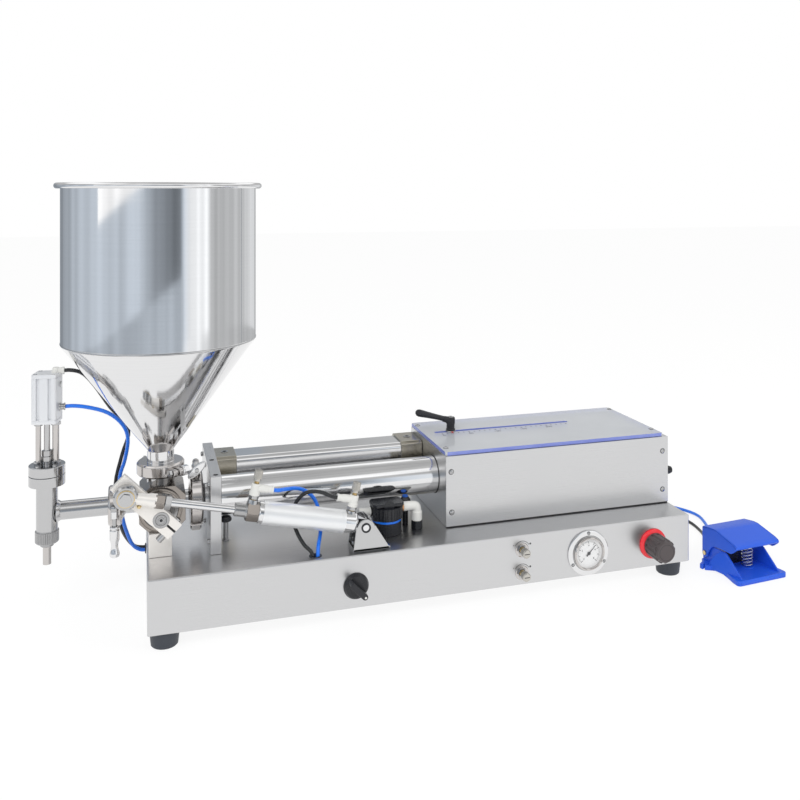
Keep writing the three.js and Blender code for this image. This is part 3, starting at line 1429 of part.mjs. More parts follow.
function makeCoil(name, x, finish) {
  const points = coilPoints(x);
  let length = 0;
  points.forEach((p, i) => {
    if (i > 0) length += p.distanceTo(points[i - 1]);
  });
  const least = leastGap(points, hoseRadius, coilSteps / 2);
  console.log(`${name} length ${length.toFixed(1)} mm, least gap ${least.toFixed(2)} mm`);
  piece(name, windTube(points, hoseRadius, coilSides), finish, hoses);
}

// Tubes on the machine and the two pedal hoses
function makeHoses() {
  tubeAlong('dosing_tube_blue', doseBlueRoute, 'hoseBlue', 26);
  tubeAlong('dosing_tube_black', doseBlackRoute, 'hoseBlack', 28);
  tubeAlong('actuator_tube_blue', actuatorBlueRoute, 'hoseBlue', 18);
  tubeAlong('actuator_tube_black', actuatorBlackRoute, 'hoseBlack', 18);

  const top = hoseFloor + coilClimb;
  const exitY = coilY - coilRadius;
  tubeAlong('pedal_hose_blue_start', [
    [bluePortX, unionFace + gap, unionZ], [bluePortX, unionFace + hoseStraight, unionZ],
    [bluePortX, 357, 38], [bluePortX, 367, 10], [bluePortX, 380, -16],
    [bluePortX, coilY - 2 * hoseStraight, hoseFloor], [bluePortX, coilY - hoseStraight - gap, hoseFloor],
  ], 'hoseBlue', 18);
  tubeAlong('pedal_hose_black_start', [
    [blackPortX, unionFace + gap, unionZ], [blackPortX, unionFace + hoseStraight, unionZ],
    [779, 354, 40], [740, 360, 16], [706, 368, -8], [689, 380, -20],
    [coilBlackX + coilRadius, coilY - 2 * hoseStraight + overrun, hoseFloor],
    [coilBlackX + coilRadius, coilY - hoseStraight - gap, hoseFloor],
  ], 'hoseBlack', 22);
  const blueEnd = pedalPort(portBlueX);
  const blackEnd = pedalPort(portBlackX);
  tubeAlong('pedal_hose_blue_end', [
    [coilBlueX + hoseStraight + gap, exitY, top], [coilBlueX + 2 * hoseStraight, exitY, top],
    [835, 355, -18.5], [862, 353, hoseFloor], [920, 352, hoseFloor], [985, 336, hoseFloor],
    [1038, 292, hoseFloor], [1063, 238, hoseFloor], [1052, 190, hoseFloor], [1028, 140, hoseFloor],
    [1009, 104, -17], [1000, 80, -5], blueEnd[1], blueEnd[0],
  ], 'hoseBlue', 32);
  tubeAlong('pedal_hose_black_end', [
    [coilBlackX + hoseStraight + gap, exitY, top], [coilBlackX + 2 * hoseStraight, exitY, top],
    [672, 351, -18.5], [700, 342, hoseFloor], [740, 337, hoseFloor], [820, 336, hoseFloor],
    [900, 333, hoseFloor], [960, 315, hoseFloor], [1005, 270, hoseFloor], [1026, 210, hoseFloor],
    [1017, 150, hoseFloor], [995, 108, -17], [979, 80, -5], blackEnd[1], blackEnd[0],
  ], 'hoseBlack', 38);
  makeCoil('pedal_hose_blue_coil', coilBlueX, 'hoseBlue');
  makeCoil('pedal_hose_black_coil', coilBlackX, 'hoseBlack');
}

// Where a hose meets the pedal's port, and a point straight out from it
function pedalPort(x) {
  const turn = new THREE.Euler(0, 0, pedalTurn * degree);
  const base = new THREE.Vector3(pedalX, pedalY, floorZ);
  return [gap, hoseStraight].map((out) => {
    const local = new THREE.Vector3(x, pedalValveBack + portReach + out, portZ);
    return local.applyEuler(turn).add(base).toArray();
  });
}

makeBase();
makeCylinders();
makeBox();
makeHopper();
makeValve();
makeClamps();
makeActuator();
makeDosingHead();
makeDeckPieces();
makePanel();
makeUnion();
makePedal();
makeHoses();

// The part's origin: middle of its box, without the hoses, on the floor
machine.updateWorldMatrix(true, true);
const box = new THREE.Box3().setFromObject(machine, true);
const middle = box.getCenter(new THREE.Vector3());
machine.position.set(-middle.x, -middle.y, -box.min.z);
machine.add(hoses);
console.log(`shift ${machine.position.toArray().map((v) => v.toFixed(3)).join(' ')}`);
console.log(`size ${box.getSize(new THREE.Vector3()).toArray().map((v) => v.toFixed(2)).join(' ')}`);

const part = new THREE.Group();
part.add(machine);

export default part;
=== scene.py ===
"""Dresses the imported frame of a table-top piston filler for paste.

Every length in the pieces is in millimetres from the front left bottom corner
of the base housing, +X along the machine, +Z up.
"""
import math

import bpy
from mathutils import Matrix, Vector


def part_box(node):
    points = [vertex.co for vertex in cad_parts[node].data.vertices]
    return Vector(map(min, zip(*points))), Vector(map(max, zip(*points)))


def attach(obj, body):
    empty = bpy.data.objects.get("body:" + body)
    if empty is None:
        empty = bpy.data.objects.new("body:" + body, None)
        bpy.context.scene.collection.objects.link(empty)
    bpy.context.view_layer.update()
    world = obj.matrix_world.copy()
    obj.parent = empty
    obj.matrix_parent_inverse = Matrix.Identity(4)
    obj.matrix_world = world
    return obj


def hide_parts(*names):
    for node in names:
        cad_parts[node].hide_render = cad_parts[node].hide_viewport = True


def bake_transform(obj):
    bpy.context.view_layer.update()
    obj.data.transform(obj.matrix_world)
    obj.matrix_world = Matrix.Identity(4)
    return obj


bl_info = {
    "name": "Paste Filler",
    "version": (1, 0, 0),
    "blender": (4, 5, 0),
    "location": "3D View > Sidebar > Paste Filler",
    "description": "Models the finished look of a table-top piston filler over its frame",
    "category": "Add Mesh",
}

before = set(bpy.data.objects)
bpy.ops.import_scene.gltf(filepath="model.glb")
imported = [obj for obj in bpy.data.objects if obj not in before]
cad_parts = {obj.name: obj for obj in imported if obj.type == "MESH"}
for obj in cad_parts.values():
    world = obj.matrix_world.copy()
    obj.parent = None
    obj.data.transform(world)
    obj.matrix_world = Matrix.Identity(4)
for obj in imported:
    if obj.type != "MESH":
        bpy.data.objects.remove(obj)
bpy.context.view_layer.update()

MM = 0.001
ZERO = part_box("base_housing")[0]
RIGHT, FAR, UP = Vector((1, 0, 0)), Vector((0, 1, 0)), Vector((0, 0, 1))
LEFT, NEAR, DOWN = -RIGHT, -FAR, -UP
FINISHES = {}


def shift(x, y, z):
    """A move in millimetres."""
    return Matrix.Translation((x, y, z))


def swing(angle, axis):
    """A turn in degrees about an axis through the origin."""
    return Matrix.Rotation(math.radians(angle), 4, axis)


def facing(x, z):
    """Brings a piece drawn along +Z to a point on the base's front, facing the user."""
    return shift(x, 0, z) @ swing(90, "X")


# Places that several pieces share: the axes of the product tube, the valve, the hopper, the air
# cylinder and the dosing head, the actuator's pin and rod eye, the deck, the box and the spring,
# and the turn of the dial's scale in degrees
PRODUCT_Y, PRODUCT_Z = 128, 149
VALVE_X, VALVE_Z = 20, 149.6
HOPPER = (21, 128)
AIR_Y, AIR_Z = 222, 157.5
DOSE = (-143.5, 128)
PIN = (321.7, 30, 115.6)
EYE = (-29.12, 191.4)
TILT = math.degrees(math.atan2(EYE[1] - PIN[2], PIN[0] - EYE[0]))
DECK = 80.3
BOX_X, BOX_TOP = (469, 885), 197
SPRING = (6, -12)
DIAL_START, DIAL_SWEEP = 225, 270
ACTUATOR = shift(*PIN) @ swing(TILT, "Y")
LEVER = shift(VALVE_X, 0, VALVE_Z) @ swing(-135, "Y")
PEDAL = shift(986, -1, -25) @ swing(5, "Z")


# Modelling by hand: a line is drawn, spun or extruded, and its edges rounded
def unselect():
    """Leaves edit mode and selects nothing."""
    if bpy.context.object and bpy.context.object.mode != "OBJECT":
        bpy.ops.object.mode_set(mode="OBJECT")
    bpy.ops.object.select_all(action="DESELECT")


def take(*pieces):
    """Selects pieces, the first of them active."""
    unselect()
    for piece in pieces:
        piece.select_set(True)
    bpy.context.view_layer.objects.active = pieces[0]
    return pieces[0]


def settle(piece, matrix=None):
    """Moves a piece by a matrix in millimetres and puts its place in its mesh."""
    if matrix is not None:
        step = matrix.copy()
        step.translation = step.translation * MM
        bpy.context.view_layer.update()
        piece.matrix_world = step @ piece.matrix_world
    take(piece)
    bpy.ops.object.transform_apply(location=True, rotation=True, scale=True)
    return piece


def line(points, closed=False):
    """Draws a line point by point, each extruded from the last, and fills it if it is closed."""
    points = [Vector(p) * MM for p in points]
    unselect()
    bpy.ops.mesh.primitive_plane_add(size=MM, location=points[0])
    piece = bpy.context.object
    bpy.ops.object.mode_set(mode="EDIT")
    bpy.ops.mesh.select_all(action="SELECT")
    bpy.ops.mesh.merge(type="CENTER")
    for a, b in zip(points, points[1:]):
        bpy.ops.mesh.extrude_region_move(TRANSFORM_OT_translate={"value": b - a})
    if closed:
        bpy.ops.mesh.select_all(action="SELECT")
        bpy.ops.mesh.edge_face_add()
    return piece


def rounded(piece, width, segments=2, angle=30):
    """Rounds the sharp edges of a piece by a bevel."""
    if width:
        take(piece)
        bevel = piece.modifiers.new("Rounding", "BEVEL")
        bevel.width = width * MM
        bevel.segments = segments
        bevel.limit_method = "ANGLE"
        bevel.angle_limit = math.radians(angle)
        bpy.ops.object.modifier_apply(modifier=bevel.name)
    return piece


def aimed(piece, at, along):
    """Turns a piece drawn along +Z to point along a direction and moves it to a point."""
    turn = Vector(along).to_track_quat("Z", "Y").to_matrix().to_4x4()
    return settle(piece, Matrix.Translation(at) @ turn)


def turned(profile, at=(0, 0, 0), along=(0, 0, 1), steps=48, edge=0.0, segments=2):
    """Spins a profile of (radius, height) points about an axis through a point."""
    piece = line([(r, 0, h) for r, h in profile])
    bpy.ops.mesh.select_all(action="SELECT")
    bpy.ops.mesh.spin(steps=steps, angle=math.tau, center=(0, 0, 0), axis=(0, 0, 1))
    bpy.ops.mesh.select_all(action="SELECT")
    bpy.ops.mesh.remove_doubles(threshold=1e-6)
    bpy.ops.mesh.normals_make_consistent(inside=False)
    bpy.ops.object.mode_set(mode="OBJECT")
    settle(piece)
    rounded(piece, edge, segments)
    return aimed(piece, at, along)


def puck(radius, low, high, at=(0, 0, 0), along=UP, steps=48, edge=0.0):
    """A plain disc or bar between two heights on an axis."""
    return turned([(0, low), (radius, low), (radius, high), (0, high)], at, along, steps, edge)


def hoop(bore, radius, low, high, at=(0, 0, 0), along=UP, steps=48, edge=0.0):
    """A plain ring or sleeve between two heights on an axis."""
    return turned([(bore, low), (radius, low), (radius, high), (bore, high), (bore, low)],
                  at, along, steps, edge)


def rod(a, b, radius, steps=32, edge=0.3):
    """A round bar between two points, with its rims rounded."""
    a, b = Vector(a), Vector(b)
    return puck(radius, 0, (b - a).length, a, b - a, steps, edge)


def slab(outline, plane, low, high, edge=0.0, segments=2):
    """Fills an outline in a plane and extrudes it across that plane."""
    at = {
        "xy": lambda u, v, w: Vector((u, v, w)),
        "xz": lambda u, v, w: Vector((u, w, v)),
        "yz": lambda u, v, w: Vector((w, u, v)),
    }[plane]
    piece = line([at(u, v, low) for u, v in outline], closed=True)
    bpy.ops.mesh.extrude_region_move(TRANSFORM_OT_translate={"value": at(0, 0, high - low) * MM})
    bpy.ops.mesh.select_all(action="SELECT")
    bpy.ops.mesh.normals_make_consistent(inside=False)
    bpy.ops.object.mode_set(mode="OBJECT")
    settle(piece)
    return rounded(piece, edge, segments)


def block(x, y, z, edge=0.5, segments=2):
    """A box between pairs of limits, with rounded edges."""
    corners = [(x[0], y[0]), (x[1], y[0]), (x[1], y[1]), (x[0], y[1])]
    return slab(corners, "xy", *z, edge, segments)


def around(centre, radius, angle):
    """A point on a circle, at an angle in degrees."""
    turn = math.radians(angle)
    return centre[0] + radius * math.cos(turn), centre[1] + radius * math.sin(turn)


def arc(centre, radius, start, stop, count):
    """Points of an arc between two angles in degrees."""
    return [around(centre, radius, start + (stop - start) * i / count) for i in range(count + 1)]


def chamfered(u0, u1, v0, v1, c):
    """Outline of a rectangle with its corners cut off."""
    return [
        (u0 + c, v0), (u1 - c, v0), (u1, v0 + c), (u1, v1 - c),
        (u1 - c, v1), (u0 + c, v1), (u0, v1 - c), (u0, v0 + c),
    ]


def fluted(radius, depth, count, share=0.5):
    """Outline of a knurled or ribbed knob, with ribs that fill a share of their pitch."""
    rib = [(0, radius), (share, radius), (share + 0.12, radius - depth), (0.88, radius - depth)]
    points = []
    for i in range(count):
        for part, reach in rib:
            turn = math.tau * (i + part) / count
            points.append((reach * math.cos(turn), reach * math.sin(turn)))
    return points


def nut(at, along, radius, length, bore=0.0):
    """A hexagon nut with its corners turned off."""
    piece = slab(arc((0, 0), radius, 0, 300, 5), "xy", 0, length)
    tip, reach, slope = radius * 0.93, radius * 1.01, radius * 0.1
    solid(piece, turned([(0, -0.01), (tip, -0.01), (reach, slope), (reach, length - slope),
                         (tip, length + 0.01), (0, length + 0.01)], steps=36), "INTERSECT")
    if bore:
        solid(piece, puck(bore, -1, length + 1, steps=24))
    rounded(piece, 0.12, 1, 40)
    return aimed(piece, at, along)


def solid(piece, tool, operation="DIFFERENCE"):
    """Cuts, joins or intersects a piece with a tool, which is used up."""
    take(piece)
    change = piece.modifiers.new("Change", "BOOLEAN")
    change.operation = operation
    change.object = tool
    change.solver = "EXACT"
    bpy.ops.object.modifier_apply(modifier=change.name)
    take(tool)
    bpy.ops.object.delete()
    return piece


def swept(name, points, radius, resolution, kind):
    """A closed round tube along points, all in metres, as a mesh."""
    curve = bpy.data.curves.new(name, "CURVE")
    curve.dimensions = "3D"
    curve.bevel_depth = radius
    curve.bevel_resolution = resolution
    curve.use_fill_caps = True
    spline = curve.splines.new(kind)
    spline.points.add(len(points) - 1)
    for knot, place in zip(spline.points, points):
        knot.co = (*place, 1)
    spline.use_endpoint_u = True
    spline.order_u = 4
    piece = bpy.data.objects.new(name, curve)
    bpy.context.scene.collection.objects.link(piece)
    take(piece)
    bpy.ops.object.convert(target="MESH")
    return bpy.context.object


def bent(points, radius, resolution):
    """A smooth round tube that is drawn by its points in millimetres."""
    return swept("bent", [Vector(p) * MM for p in points], radius * MM, resolution, "NURBS")


def joined(*pieces):
    """Joins pieces into the first, each keeping its own finish."""
    take(*pieces)
    if len(pieces) > 1:
        bpy.ops.object.join()
    return pieces[0]


def copied(piece, *steps):
    """Copies of a piece, each with its own mesh, moved by a step."""
    made = []
    for step in steps:
        take(piece)
        bpy.ops.object.duplicate(linked=False)
        made.append(settle(bpy.context.object, shift(*step)))
    return made


def painted(piece, finish):
    """Gives a piece its finish, and notes on the piece the slot that goes with it."""
    material, slot = FINISHES[finish]
    piece.data.materials.clear()
    piece.data.materials.append(material)
    piece["paste_slot"] = slot
    return piece


def grouped(*groups):
    """Paints groups of (finish, pieces) and joins them in order; None leaves a finish as it is."""
    return joined(*[painted(piece, finish) if finish else piece
                    for finish, *pieces in groups for piece in pieces])


def assembled(name, body, node, *groups, at=None, angle=32):
    """Joins painted groups into one named piece that rides on a body and may replace a node."""
    piece = settle(grouped(*groups), at)
    piece.data.transform(Matrix.Translation(ZERO))
    piece.name = piece.data.name = name
    take(piece)
    bpy.ops.object.shade_smooth_by_angle(angle=math.radians(angle))
    even = piece.modifiers.new("Even shading", "WEIGHTED_NORMAL")
    even.keep_sharp = True
    bpy.ops.object.modifier_apply(modifier=even.name)
    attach(piece, body)
    if node:
        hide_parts(node)
    return piece


def recoloured(finish, *nodes):
    """A CAD node that keeps its shape takes a finish in its own slots."""
    for name in nodes:
        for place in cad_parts[name].material_slots:
            place.material = FINISHES[finish][0]


# Shading
class Value:
    """A shader value, on which Python's arithmetic adds Math nodes."""

    def __init__(self, finish, socket):
        self.finish = finish
        self.socket = socket

    def math(self, operation, first, second):
        return self.finish.node("ShaderNodeMath", {"operation": operation}, {0: first, 1: second})

    def __add__(self, other):
        return self.math("ADD", self, other)

    def __radd__(self, other):
        return self.math("ADD", other, self)

    def __sub__(self, other):
        return self.math("SUBTRACT", self, other)

    def __rsub__(self, other):
        return self.math("SUBTRACT", other, self)

    def __mul__(self, other):
        return self.math("MULTIPLY", self, other)

    def __rmul__(self, other):
        return self.math("MULTIPLY", other, self)

    def __truediv__(self, other):
        return self.math("DIVIDE", self, other)

    def __gt__(self, other):
        return self.math("GREATER_THAN", self, other)

    def __lt__(self, other):
        return self.math("LESS_THAN", self, other)


class Finish:
    """The nodes of one material or of the world."""

    def __init__(self, name, world=None):
        self.material = world or bpy.data.materials.new(name)
        self.material.use_nodes = True
        self.tree = self.material.node_tree
        self.tree.nodes.clear()

    def node(self, kind, settings=None, values=None, output=0):
        """A node with its settings made first, then the values or links of its sockets."""
        made = self.tree.nodes.new(kind)
        for name, value in (settings or {}).items():
            if name == "stops":
                stops = made.color_ramp.elements
                stops[0].position, stops[1].position = value[0][0], value[-1][0]
                for position, _ in value[1:-1]:
                    stops.new(position)
                for stop, (_, colour) in zip(stops, value):
                    stop.color = (*colour, 1)
            else:
                setattr(made, name, value)
        for name, value in (values or {}).items():
            if isinstance(value, Value):
                self.tree.links.new(value.socket, made.inputs[name])
            else:
                made.inputs[name].default_value = value
        return Value(self, made.outputs[output])

    def noise(self, scale, stretch=(1, 1, 1), detail=3.0, rough=0.5):
        """Noise on Object coordinates, which may be stretched."""
        spot = self.node("ShaderNodeTexCoord", output="Object")
        place = self.node("ShaderNodeMapping", {}, {"Vector": spot, "Scale": stretch})
        return self.node("ShaderNodeTexNoise", {}, {
            "Vector": place, "Scale": scale, "Detail": detail, "Roughness": rough})

    def ranged(self, value, low, high, start=0.0, stop=1.0):
        """A value that runs from low to high while another runs from start to stop."""
        return self.node("ShaderNodeMapRange", {}, {
            "Value": value, "From Min": start, "From Max": stop, "To Min": low, "To Max": high})

    def mixed(self, share, a, b):
        """A mix of two colours."""
        return self.node("ShaderNodeMix", {"data_type": "RGBA"}, {"Factor": share, 6: a, 7: b}, output=2)

    def bump(self, height, distance, strength):
        return self.node("ShaderNodeBump", {}, {
            "Height": height, "Distance": distance, "Strength": strength})

    def surface(self, **sockets):
        """A Principled surface; a socket's name is written with underscores."""
        values = {name.replace("_", " "): value for name, value in sockets.items()}
        self.end(self.node("ShaderNodeBsdfPrincipled", {}, values))
        return self.material

    def end(self, shader, kind="ShaderNodeOutputMaterial"):
        output = self.tree.nodes.new(kind)
        self.tree.links.new(shader.socket, output.inputs["Surface"])


def rgba(colour):
    """A colour with its alpha."""
    return (*colour[:3], 1.0)


def tinted(colour, share):
    """A colour made lighter or darker by a share."""
    return tuple(min(1.0, c * share) for c in colour[:3]) + (1.0,)


# Settings that a user would change
def colour(name, description, default):
    return bpy.props.FloatVectorProperty(
        name=name, description=description, subtype="COLOR", size=3, min=0, max=1, default=default)


def power(name, description, default):
    return bpy.props.FloatProperty(
        name=name, description=description, unit="POWER", min=0, default=default)


class StageSettings(bpy.types.PropertyGroup):
    floor_colour: colour("Floor colour", "Colour of the pale floor", (0.96, 0.96, 0.96))
    shadow: bpy.props.FloatProperty(
        name="Shadow", description="How much of the object's shadow the floor keeps", subtype="FACTOR",
        min=0, max=1, default=0.2)
    key_power: power("Key light", "Power of the soft key light", 44)
    fill_power: power("Fill light", "Power of the soft fill light", 16)


class FinishSettings(bpy.types.PropertyGroup):
    steel: colour("Steel", "Colour of the polished and brushed steel", (0.80, 0.80, 0.805))
    champagne: colour("Air cylinder caps", "Colour of the anodised caps", (0.48, 0.45, 0.38))
    pedal: colour("Pedal", "Colour of the moulded foot pedal", (0.018, 0.12, 0.80))
    blue_hose: colour("Blue hose", "Colour of the blue air hoses", (0.012, 0.20, 0.95))
    ring: colour("Regulator ring", "Colour of the ring under the regulator knob", (0.95, 0.035, 0.05))
    brushing: bpy.props.FloatProperty(
        name="Brushing", description="Depth of the brush marks in sheet steel", unit="LENGTH", min=0,
        default=0.00001)


class SizeSettings(bpy.types.PropertyGroup):
    hose_diameter: bpy.props.FloatProperty(
        name="Hose diameter", description="Outside diameter of the air hoses", unit="LENGTH", min=0.002,
        default=0.006)
    sheet_edge: bpy.props.FloatProperty(
        name="Sheet edge", description="Rounding of folded sheet edges, in millimetres", min=0.1,
        default=2.0)
    screw_radius: bpy.props.FloatProperty(
        name="Screw head", description="Radius of the cover screws' heads, in millimetres", min=1,
        default=4.0)
    knob_ribs: bpy.props.IntProperty(
        name="Knob ribs", description="Number of ribs round the regulator knob", min=6, max=40, default=12)
    knurl_ribs: bpy.props.IntProperty(
        name="Knurl ribs", description="Number of ribs round each small knurled knob", min=12, max=60,
        default=30)


def sizes():
    return bpy.context.scene.paste_sizes


# The camera at the photograph's place, in metres and degrees
CAMERA_PLACE, CAMERA_TURN = (-0.444791, -1.450519, 0.6587), (90, 0, -17)
LENS, SENSOR, LENS_SHIFT = 40.01, 36, (-0.01625, -0.26275)

# The lights, each with its place and width in metres, and the height that they face;
# the strength of the world on the object, of the floor's white and of the dome
LIGHTS = (("key_light", "key_power", (-1.6, -2.6, 2.6), 1.6),
          ("fill_light", "fill_power", (2.6, -1.8, 1.8), 1.8))
LIT_HEIGHT = 0.25
WORLD_LIGHT, FLOOR_WHITE, DOME_LIGHT = 0.68, 1.06, 1.22
FLOOR_WIDTH = 24

# The dome that the steel mirrors: its wall in millimetres, brightness by degrees from the front
# to the right for its belt and for its foot, and by share of its height for its crown
DOME = [(2000, 0), (2000, 1500), (1800, 2200), (1200, 2700), (0, 2900)]
BELT = [(-180, 0.36), (-158, 0.28), (-136, 0.26), (-116, 0.40), (-102, 0.50), (-91, 0.57), (-80, 0.61),
        (-70, 0.58), (-62, 0.61), (-53, 0.50), (-45, 0.72), (-36, 0.68), (-27, 0.42), (-18, 0.30),
        (-8, 0.24), (2, 0.17), (9, 0.24), (13, 0.58), (22, 0.96), (27, 1.0), (44, 1.0), (50, 0.50),
        (72, 0.47), (88, 0.52), (105, 0.50), (126, 0.62), (153, 0.64), (166, 0.44), (180, 0.36)]
FOOT = [(-180, 0.40), (-118, 0.46), (-106, 0.50), (-100, 0.24), (-90, 0.25), (-82, 0.45), (-15, 0.47),
        (10, 0.50), (20, 0.95), (34, 0.95), (50, 0.47), (120, 0.45), (180, 0.40)]
CROWN = [(0, 0.42), (0.34, 0.42), (0.5, 0.46), (0.56, 1.0), (0.78, 1.0), (0.83, 0.52), (1, 0.36)]
COOL, WARM, COOL_UNTIL = (0.9, 0.99, 1.1), (0.97, 0.985, 1), 20
WEDGE_FROM, WEDGE_TO = math.radians(-76), math.radians(-30)


# The stage
class PASTE_OT_stage(bpy.types.Operator):
    """Adds the camera, the pale floor, the soft lights and the surroundings that the steel mirrors"""
    bl_idname = "paste_filler.stage"
    bl_label = "Stage"

    def execute(self, context):
        settings = context.scene.paste_stage
        self.camera(context)
        self.floor(settings)
        self.world(context)
        self.surroundings()
        for name, power_setting, place, width in LIGHTS:
            bpy.ops.object.light_add(type="AREA", location=place)
            light = bpy.context.object
            light.name = name
            light.data.energy = getattr(settings, power_setting)
            light.data.size = width
            towards = Vector((0, 0, LIT_HEIGHT)) - Vector(place)
            light.rotation_euler = towards.to_track_quat("-Z", "Y").to_euler()
            light.visible_glossy = False
        context.scene.view_settings.view_transform = "Standard"
        return {"FINISHED"}

    def camera(self, context):
        bpy.ops.object.camera_add(location=CAMERA_PLACE, rotation=[math.radians(a) for a in CAMERA_TURN])
        camera = bpy.context.object
        camera.data.sensor_width = SENSOR
        camera.data.lens = LENS
        camera.data.shift_x, camera.data.shift_y = LENS_SHIFT
        context.scene.camera = camera

    def seen(self, finish):
        """1 for rays from the camera and for those that metal and glass send out, else 0."""
        rays = [finish.node("ShaderNodeLightPath", output=name)
                for name in ("Is Camera Ray", "Is Glossy Ray", "Is Transmission Ray")]
        return (rays[0] + rays[1] + rays[2]) > 0.5

    def floor(self, settings):
        unselect()
        bpy.ops.mesh.primitive_plane_add(size=FLOOR_WIDTH)
        floor = bpy.context.object
        floor.name = "floor"
        finish = Finish("floor")
        lit = finish.node("ShaderNodeBsdfDiffuse", {}, {"Color": rgba(settings.floor_colour)})
        white = finish.node("ShaderNodeEmission", {}, {"Color": (1, 1, 1, 1), "Strength": FLOOR_WHITE})
        share = self.seen(finish) * (1 - settings.shadow)
        finish.end(finish.node("ShaderNodeMixShader", {}, {0: share, 1: lit, 2: white}))
        floor.data.materials.append(finish.material)

    def world(self, context):
        world = context.scene.world or bpy.data.worlds.new("world")
        context.scene.world = world
        finish = Finish("world", world)
        strength = finish.ranged(self.seen(finish), WORLD_LIGHT, 1.0)
        finish.end(finish.node("ShaderNodeBackground", {}, {"Color": (1, 1, 1, 1), "Strength": strength}),
                   "ShaderNodeOutputWorld")

    def surroundings(self):
        """A dome of light and dark panels over the stage, seen only in reflections."""
        dome = turned(DOME, steps=96)
        dome.name = "surroundings"
        finish = Finish("surroundings")
        place = finish.node("ShaderNodeTexCoord", output="Object")
        spot = finish.node("ShaderNodeSeparateXYZ", {}, {0: place})
        depth, height = (Value(finish, spot.socket.node.outputs[i]) for i in (1, 2))
        turn = finish.node("ShaderNodeMath", {"operation": "ARCTAN2"}, {0: spot, 1: 0 - depth})
        belt, foot = (finish.node("ShaderNodeValToRGB", {"stops": [
            ((angle + 180) / 360, [share * tint for tint in (COOL if angle < COOL_UNTIL else WARM)])
            for angle, share in stops]}, {0: turn / math.tau + 0.5}) for stops in (BELT, FOOT))
        # The belt's lower rim, in metres, rises to the right and is low on the right side
        rim = 0.3285 + 0.1 * turn - (turn > 0.2) * (0.22 + 0.1 * turn)
        wall = finish.mixed(finish.ranged(height - rim, 0, 1, -0.004, 0.004), foot, belt)
        # A white wedge stands on the left, over a slanting lower edge
        wedge = finish.ranged(height - 0.15 * turn, 0, 1, 0.745, 0.765)
        wedge = wedge * (turn > WEDGE_FROM) * (WEDGE_TO > turn)
        wall = finish.mixed(wedge, wall, (1.0, 1.0, 1.0, 1))
        crown = finish.node("ShaderNodeValToRGB", {"stops": [(a, (c, c, c)) for a, c in CROWN]},
                            {0: height / (DOME[-1][1] * MM)})
        share = finish.ranged(height, 0.0, 1.0, 0.8, 1.1)
        streak = finish.ranged(finish.noise(2.6, (1, 1, 0.03), 1, 0.5), 0.88, 1.12, 0.35, 0.65)
        shade = finish.node("ShaderNodeMix", {"data_type": "RGBA", "blend_type": "MULTIPLY"},
                            {"Factor": 1.0, 6: finish.mixed(share, wall, crown), 7: streak}, output=2)
        finish.end(finish.node("ShaderNodeEmission", {}, {"Color": shade, "Strength": DOME_LIGHT}))
        dome.data.materials.append(finish.material)
        for ray in ("camera", "diffuse", "transmission", "volume_scatter", "shadow"):
            setattr(dome, f"visible_{ray}", False)


